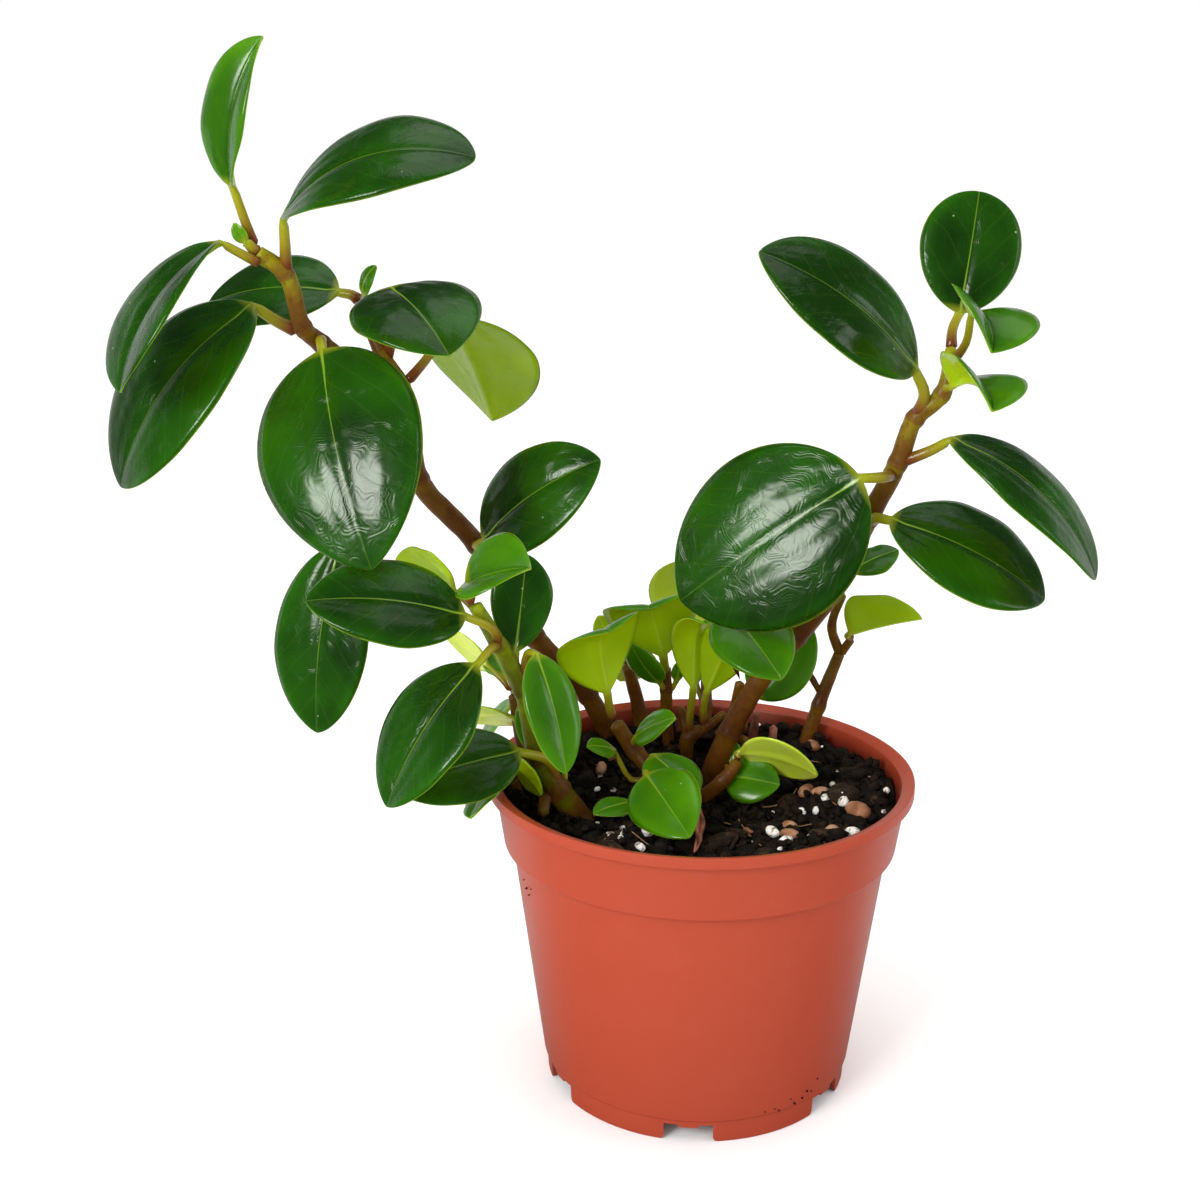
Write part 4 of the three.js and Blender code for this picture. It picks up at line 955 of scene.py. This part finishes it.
# The fourth colour of each finish is a painted glow of light through the underside.
mature = leaf_finish("mature leaf wax", "#0b2d00", "#1c5000", "#7f9c02", "#93b008", 0.6, 0.12)
fresh = leaf_finish("fresh leaf wax", "#275800", "#427a02", "#8aaa02", "#a0be0c", 0.25, 0.35)
tender = leaf_finish("tender leaf wax", "#2b6000", "#4a8402", "#93b202", "#abc60e", 0.15, 0.6)
newest = leaf_finish("newest leaf wax", "#6a9c12", "#8ab428", "#bccf3a", "#d0dc58", 0.08, 0.9)
FRESH_LEAVES = (
    "leaf_left_front_1", "leaf_left_front_3", "leaf_left_front_5", "leaf_right_thin_1",
    "leaf_right_thin_2", "leaf_right_2", "leaf_right_3", "leaf_left_back_1",
)
large_leaves = {
    "leaf_left_back_1": measures(
        (-117.2, -1.2, 235.9), (-122, -2, 252), (-111.5, -6, 288), 22.5, (-0.75, -0.65, 0.1),
        arch=50, fold=30, droop=4, peak=0.46, petiole=1.3, via=(-119.6, -1.5, 243.6),
    ),
    "leaf_left_back_2": measures(
        left_back_left_fork[4], (-109.5, -2, 243.4), (-59, -14, 259), 36, (-0.2, -0.5, 0.85),
        via=(-109.5, -1.5, 237), arch=80, peak=0.55, base_taper=0.9, tip_taper=0.6, petiole=1.5,
    ),
    "leaf_left_back_3": measures(
        (-115.8, -3, 232.6), (-125, -6, 238), (-149, -22, 202), 34, (-0.75, -0.5, 0.45),
        via=(-119, -5.2, 234.6), arch=55, fold=20, peak=0.58, base_taper=0.75, petiole=1.3,
    ),
    "leaf_left_back_4": measures(
        (-107.9, 5, 214.1), (-119.5, 4, 221), (-156, -4, 174), 39, (-0.5, -0.7, 0.5), arch=60,
        peak=0.5, petiole=1.7, via=(-113.8, 4.5, 217),
    ),
    "leaf_left_back_5": measures(
        left_back_right_fork[3], (-101, 30, 222), (-139, 36, 218), 33, (0, -0.5, 0.85), arch=45,
    ),
    "leaf_left_back_6": measures(
        left_back_left_fork[2], (-101, -1.5, 209.8), (-86, -32, 158.6), 46.5, (-0.27, -0.88, 0.42),
        arch=46, peak=0.42, base_taper=0.55, tip_taper=0.75, fold=4, droop=20,
    ),
    "leaf_left_back_7": measures(
        (-86, 23, 203), (-85, 18, 224), (-67, -12, 210), 35, (0.1, -0.6, 0.8), arch=40,
        base_taper=0.5, petiole=1.3,
    ),
    "leaf_left_back_8": measures(
        left_back_right_fork[1], (-71, 35, 214), (-60.5, 56, 181.5), 42, (0.5, 0.82, 0.1),
        via=(-76, 29, 205), fold=24, droop=0, arch=20, peak=0.42, petiole=1.3,
    ),
    "leaf_left_back_9": measures(
        left_back_trunk[3], (-61, 21, 153), (-28, 8, 179), 29, (-0.4, -0.75, 0.5), arch=58,
        peak=0.5, base_taper=0.5,
    ),
    "leaf_left_back_10": measures(
        left_back_trunk[4], (-102, 20, 152), (-109.4, 10, 99), 31, (-0.4, -0.9, 0.1), arch=42,
        peak=0.5,
    ),
    "leaf_left_front_1": measures(
        left_front_stem[5], (-62.5, -26, 153), (-45.5, -36, 160), 24, (-0.5, -0.35, 0.75), arch=30,
        fold=35, droop=0, base_taper=0.5, petiole=1.2,
    ),
    "leaf_left_front_2": measures(
        left_front_stem[3], (-51, -15, 131), (-48, -6, 156), 17, (0.2, -0.95, 0.3), arch=20,
        peak=0.58, base_taper=0.8, petiole=1.2,
    ),
    "leaf_left_front_3": measures(
        left_front_stem[3], (-45.2, -22, 133), (-37.3, -34, 104), 16, (0.5, -0.8, 0.35), arch=35,
        petiole=1.2,
    ),
    "leaf_left_front_4": measures(
        left_front_stem[4], (-63, -28, 145), (-102.1, -38, 151.9), 28, (-0.2, -0.6, 0.75), arch=45,
        petiole=1.2,
    ),
    "leaf_left_front_5": measures(
        (-58, -21, 141), (-66.4, -18, 148.8), (-82.5, -12, 156), 22, (0.25, 0.75, 0.6),
        via=(-62.5, -19.5, 146), arch=30, petiole=1.1,
    ),
    "leaf_left_front_6": measures(
        left_front_stem[4], (-60, -29.5, 132.5), (-83, -42, 98), 31, (-0.6, -0.6, 0.4), arch=40,
        base_taper=0.75, petiole=1.2,
    ),
    "leaf_left_front_7": measures(
        left_front_stem[1], (-50, -16, 103), (-83, -28, 97), 25, (-0.2, -0.6, 0.75), arch=28,
    ),
    "leaf_right_1": measures(
        (64.4, 0, 209.4), (67, 5, 219), (72, 13, 250), 27, (0, -0.95, 0.3), via=(65, 3, 215),
        arch=20, peak=0.55, tip_taper=0.5, petiole=1.3,
    ),
    "leaf_right_2": measures(
        (64, -1, 206), (67, -9, 220.1), (69.2, -25, 212.5), 28, (0.4, -0.3, 0.85),
        via=(67, -5, 212.4), arch=75, fold=37, droop=-10, peak=0.4, petiole=1.1,
    ),
    "leaf_right_3": measures(
        right_stem[8], (64.2, -5, 201), (70, -26, 198), 25, (0.4, -0.3, 0.85), arch=80, fold=36,
        droop=-10, peak=0.5, petiole=1.2,
    ),
    "leaf_right_4": measures(
        right_stem[7], (54.5, -3, 205), (12, -10, 236), 34, (0.42, -0.66, 0.62), arch=48, peak=0.48,
        petiole=1.6,
    ),
    "leaf_right_5": measures(
        (51.4, 4.6, 175.5), (41, -7, 177), (-5.9, 2, 140.7), 50, (-0.37, -0.87, 0.32), arch=28,
        base_taper=0.55, peak=0.48, fold=4, droop=18, via=(47, -3.5, 176.5),
    ),
    "leaf_right_6": measures(
        right_stem[6], (65, -2, 186.3), (103, -14, 151), 30, (0.62, -0.48, 0.6), arch=62,
        via=(60.4, 1, 182.8),
    ),
    "leaf_right_7": measures(
        (46.5, 7, 161.5), (50, -2, 164.3), (91, -10, 144.2), 35, (0.3, -0.55, 0.75), arch=40,
        peak=0.52,
    ),
    "leaf_right_thin_1": measures(
        thin_left_fork[2], (46, 35, 140), (60, 37, 146), 14, (0, -0.3, 0.95), arch=30, petiole=1.0,
    ),
    "leaf_right_thin_2": measures(
        thin_right_fork[1], (45.5, 31, 122.1), (65.6, 25, 128.6), 22, (0, 0.75, 0.65), arch=15,
        base_taper=0.4, petiole=1.0, fold=36, droop=-30, peak=0.25,
    ),
}

# Little leaves that are still one piece with the stem they come from.
BUD_DEFAULTS = dict(rows=20, columns=12, wave=0.2)
buds = {
    "stem_left_back": [
        measures(
            (-117, -2, 235.6), (-118.8, -3.4, 238), (-122, -3.5, 242.8), 4.6, (-0.4, -0.8, 0.1),
            arch=20, fold=30, droop=-10, petiole=1.5,
        ),
        measures(
            (-92, 26, 214), (-93, 23, 222), (-89, 21, 230), 7, (-0.5, -0.6, 0.5), arch=70,
            petiole=0.9,
        ),
    ],
    "stem_left_front": [
        measures(left_front_stem[1], (-38, -4, 93), (-40, -1, 98), 6, (0.3, 0.8, 0.3), petiole=0.9),
    ],
    "stem_right": [
        measures((7, 21, 86), (11, 20, 85), (12, 23, 91), 5, (-0.3, -0.9, 0.2), petiole=0.8),
    ],
}
for leaf_name, leaf in large_leaves.items():
    form = new_form()
    add_leaf(form, leaf)
    finish = fresh if leaf_name in FRESH_LEAVES else mature
    dress(grown(form, leaf_name + "_blade"), [finish], [leaf_name])

for stem_name, stem_buds in buds.items():
    form = new_form()
    for bud in stem_buds:
        add_leaf(form, BUD_DEFAULTS | bud)
    dress(grown(form, stem_name + "_bud"), [tender])

# The young shoots
# Short side shoots from the base of the plant, each a brown stalk with a few small bright leaves.
# Each has its stalks, as joints of (x, y, z, radius), and its leaves.
SHOOT_AGE = 0.8
SHOOT_LEAF_DEFAULTS = dict(rows=26, columns=18, stalk_rows=6, wave=0.3, petiole=1.0)
shoots = {
    "young_shoot_front": (
        [
            [(-2, 6, 77, 2.9), (-12, 9, 87, 2.6), (-18, 13, 92, 2.5), (-24, 14, 101, 2.1)],
            [(-2, 6, 78, 2.4), (7, 5, 86, 2.1), (12, 7, 92, 1.6)],
        ],
        [
            measures(
                (-24, 14, 101), (-26, 12, 110), (-25, 1, 132), 28, (-0.45, 0.6, 0.3), arch=108,
                peak=0.7, fold=10, petiole=1.3, droop=4, base_taper=0.9, tip_taper=0.5, hook=3,
            ),
            measures((-18, 13, 92), (-18, 11, 97), (-7, 0, 107), 11, (-0.4, -0.5, 0.75)),
            measures(
                (-12, 9, 86), (-24, 14, 92), (-32, 9, 95), 8, (0, -0.5, 0.9), via=(-19, 11, 84),
                petiole=0.9,
            ),
            measures((-12, 9, 87), (-13, 7, 93), (-2, -8, 86), 17, (0.3, -0.6, 0.75), petiole=1.1),
            measures(
                (-12, 9, 87), (-15, -3, 91), (-4.2, -30, 84), 21, (-0.3, -0.6, 0.75), peak=0.4,
                petiole=1.1,
            ),
            measures((-12, 9, 86), (-19, -4, 83), (-30, -12, 83), 9, (0, -0.3, 0.95)),
            measures(
                (12, 7, 92), (12, 7, 94), (33, -3, 91), 20, (0.2, 0.8, 0.6), arch=40, petiole=1.4,
            ),
            measures((7, 5, 86), (8, 9, 86), (23, 2, 86), 15, (0.2, -0.8, 0.6)),
        ],
    ),
    "young_shoot_middle": (
        [[(-7, 43, 76, 2.1), (-8, 42, 101, 1.9), (-8, 42, 109, 1.4)]],
        [
            measures(
                (-8, 42, 101), (-9, 40, 112), (-14, 29, 130), 29, (0, 0.95, 0.3), arch=118,
                peak=0.7, fold=12, petiole=1.4, droop=2, base_taper=0.9, tip_taper=0.5, hook=3,
            ),
            measures((-8, 42, 100), (-10, 40, 104), (-19, 35, 118), 11, (-0.5, -0.7, 0.2)),
            measures((-8, 42, 100), (-5, 41, 104), (-4, 40, 111), 4, (0, -0.9, 0.2), petiole=0.8),
        ],
    ),
    "young_shoot_right": (
        [
            [(-2, 38, 77, 2.4), (-1, 38, 87, 2.3), (4, 38, 90, 1.6)],
            [(-1, 38, 86, 1.5), (5, 37, 91, 1.4), (10, 36, 96, 1.2)],
            [(-1, 38, 86, 1.7), (-3, 41, 93, 1.5), (-4, 41, 96, 1.2)],
        ],
        [
            measures(
                (-1, 38, 87), (0, 36, 103), (3, 28, 126), 15, (-0.3, 0.9, 0.3), arch=105, peak=0.68,
                fold=26, petiole=1.2, droop=-6, base_taper=0.9, tip_taper=0.45, hook=3,
            ),
            measures(
                (4, 38, 90), (4, 36, 102), (10, 27, 120), 17, (0.2, 0.9, 0.3), arch=105, peak=0.68,
                fold=26, petiole=1.2, droop=-6, base_taper=0.9, tip_taper=0.45, hook=3,
            ),
        ],
    ),
    "young_shoot_left": (
        [[(-14, 47, 76, 2.5), (-16, 48, 92, 2.3), (-20, 47, 108, 1.9)]],
        [
            measures((-20, 47, 108), (-24, 44, 115), (-28.8, 46, 123.3), 8, (-0.3, 0.9, 0.2)),
            measures((-20, 47, 108), (-14, 53, 110), (-22, 62, 97), 15, (0, 0.9, 0.4)),
        ],
    ),
    "young_shoot_back": (
        [[(4, 47, 77, 2.1), (5, 52, 92, 1.9), (5, 58, 106, 1.5)]],
        [
            measures(
                (5, 58, 106), (6.5, 60, 111), (-1, 64, 136), 31, (0, 0.95, 0.2), arch=118, peak=0.6,
                petiole=1.5, hook=3, fold=8, droop=6,
            ),
            measures((5, 52, 92), (2, 56, 98), (-1, 62, 108), 7, (0, 0.9, 0.3), petiole=0.9),
        ],
    ),
    "young_shoot_under_right": (
        [[(14, 34, 76, 2.0), (15, 32, 90, 1.7)]],
        [
            measures(
                (15, 32, 90), (18, 33, 102), (35, 35, 123), 20, (-0.3, -0.9, 0.3), arch=30,
                petiole=1.2,
            ),
        ],
    ),
    "young_shoot_under_leaf": (
        [[(7, 31, 77, 2.0), (11, 28, 95, 1.7), (13, 24, 110, 1.4)]],
        [
            measures(
                (13, 24, 110), (8, 13, 134), (21, -11, 122), 23, (-0.1, -0.55, 0.8), arch=40,
                fold=14, petiole=1.2,
            ),
        ],
    ),
    "young_shoot_far_left": (
        [[(-44, 8, 76, 2.0), (-50, 6, 94, 1.8), (-53, 8, 112, 1.4)]],
        [
            measures((-50, 6, 94), (-53, 6, 105), (-69, 14, 100.5), 21, (-0.2, 0.7, 0.7), arch=40),
            measures((-53, 8, 112), (-50, 2, 112), (-43, 2, 93), 11, (0.3, -0.9, 0.2)),
            measures((-53, 8, 112), (-60, 12, 118), (-73, 22, 124), 15, (0.2, 0.8, 0.6)),
            measures((-53, 8, 112), (-55, 10, 116), (-60, 18, 121), 9, (0, -0.5, 0.8), petiole=0.9),
        ],
    ),
    "young_shoot_low_left": (
        [[(-49, 1, 77, 1.7), (-53, -4, 91, 1.4)]],
        [
            measures(
                (-53, -5, 91), (-52.7, -9.5, 97.2), (-44.2, -15.5, 90.3), 19, (0.1, 0.7, 0.7),
                arch=40,
            ),
            measures((-52, -5, 91), (-55.5, -13.5, 94), (-62.6, -30, 89.6), 13, (-0.3, 0.4, 0.9)),
        ],
    ),
    "young_shoot_back_left": (
        [[(-41, 26, 77, 1.9), (-48, 30, 97, 1.6)]],
        [
            measures(
                (-48, 30, 97), (-54, 33, 100), (-67, 40, 66), 22, (-0.8, 0, 0.3), arch=60,
                petiole=1.1,
            ),
        ],
    ),
}
NEWEST_LEAVES = (
    ("young_shoot_front", (33, -3, 91)), ("young_shoot_far_left", (-69, 14, 100.5)),
    ("young_shoot_far_left", (-73, 22, 124)), ("young_shoot_back", (-1, 64, 136)),
)
for shoot_name, (stalks, leaves) in shoots.items():
    form = new_form()
    standing, *branches = [[(*joint, SHOOT_AGE) for joint in joints] for joints in stalks]
    for joints in [rooted(standing), *branches]:
        add_stem(form, joints, sides=14)
    for leaf in leaves:
        skin = 2 if (shoot_name, leaf["tip"]) in NEWEST_LEAVES else 1
        add_leaf(form, SHOOT_LEAF_DEFAULTS | leaf, skin)
    finish = fresh if shoot_name in ("young_shoot_under_right", "young_shoot_under_leaf") else tender
    dress(grown(form, shoot_name + "_leaves"), [ripe_rind, finish, newest], [shoot_name])

# The litter
# What has died or come loose lies on the mix: thin roots and fibres, the stumps of old stalks, a
# dry sliver of leaf in front of the shoots, and specks on the pot's wall.

# Each root is a line of (x, y, radius).
ROOT_LINES = [
    [(17.9, 5.3, 0.25), (22.7, 9.7, 0.25), (26.7, 11.8, 0.22), (30.6, 16.2, 0.15)],
    [(10.3, -0.2, 0.2), (11.6, -8.7, 0.2), (14, -13.7, 0.18), (15.8, -22.7, 0.12)],
    [(4.6, -4.3, 0.18), (9.6, -8.4, 0.16), (14, -13.7, 0.12)],
    [(-13.5, -31.8, 0.22), (-11.5, -28.2, 0.2), (-8.6, -22.8, 0.14)],
    [(19, -8, 0.16), (26, -12, 0.16), (33, -9, 0.1)],
    [(30, -22, 0.16), (36, -24, 0.16), (40, -20, 0.1)],
    [(-30, -16, 0.18), (-25, -22, 0.16), (-22, -29, 0.12)],
    [(44, 14, 0.2), (47, 8, 0.2), (50, 4, 0.12)],
    [(-20, -22, 0.15), (-14, -25, 0.15), (-9, -31, 0.1)],
    [(24, 22, 0.2), (31, 24, 0.18), (37, 20, 0.12)],
]
form = new_form()
for line in ROOT_LINES:
    add_stem(form, [(x, y, mix_surface(x, y) + 0.9, radius, 0) for x, y, radius in line], sides=6)
dead_root, tree, shader = material("dry root fibre")
feed(tree, shader, {"Base Color": linear("#96704c"), "Roughness": 0.7})
dress(grown(form, "loose_roots"), [dead_root])

# Old stalks that broke off near the mix, dried pink and brown.
STUMPS = [
    [(-3.3, 47, 84, 1.4, 1), (-3.6, 46.5, 91, 1.3, 1)],
    [(7.6, 42.5, 82, 1.1, 1), (8.4, 42, 88, 1.0, 1)],
    [(17.8, 39, 83, 1.5, 1), (18.8, 38.5, 89, 1.3, 1), (19.6, 38, 96, 0.9, 1)],
    [(24, 36, 83, 1.4, 1), (24.5, 35.5, 92, 1.2, 1)],
    [(-24, 30, 80, 1.5, 1), (-25, 29, 87, 1.3, 1)],
]
form = new_form()
for joints in STUMPS:
    add_stem(form, joints, sides=12)
dried, tree, shader = material("dried stalk")
fade = cloudy(tree, coordinates(tree), 220, 4)
dried_shades = [(0.35, "#552a1c"), (0.55, "#94503c"), (0.75, "#b98068")]
feed(tree, shader, {"Base Color": tinted(tree, fade, dried_shades), "Roughness": 0.6})
dress(grown(form, "dead_stumps"), [dried])

form = new_form()
add_leaf(form, measures(
    (0, 0, 82), (-0.5, -6, 83), (-3, -31.5, 80.5), 4.2, (0.7, -0.3, 0.7), arch=14, fold=30,
    droop=-20, petiole=0.5, rows=24, columns=8, wave=0.9,
))
dress(grown(form, "dry_leaf_sliver"), [dried])

# Specks of the mix that dried on the pot's wall, as (degrees round the pot, height, radius).
SPECKS = [
    (-50, 10.2, 0.42), (-52, 8.6, 0.35), (-47.5, 9.3, 0.28), (-55.6, 7.9, 0.45), (-57.5, 9.8, 0.25),
    (-62.3, 7.4, 0.38), (-64, 8.2, 0.25), (-158, 64.3, 0.45), (-156.5, 62.8, 0.3), (-160, 66, 0.28),
    (-154, 65.6, 0.24), (-68, 8.1, 0.28), (-45, 12.5, 0.24),
]
form = new_form()
for angle, height, radius in SPECKS:
    reach = foot_top + (body_top - foot_top) * (height - FOOT_HEIGHT) / (collar_z - FOOT_HEIGHT) + 0.1
    turned_to = math.radians(angle)
    lump(form, (reach * math.cos(turned_to), reach * math.sin(turned_to), height), radius, 1, 0.8, 0.2)
dress(placed(form, "dried_specks"), [peat])
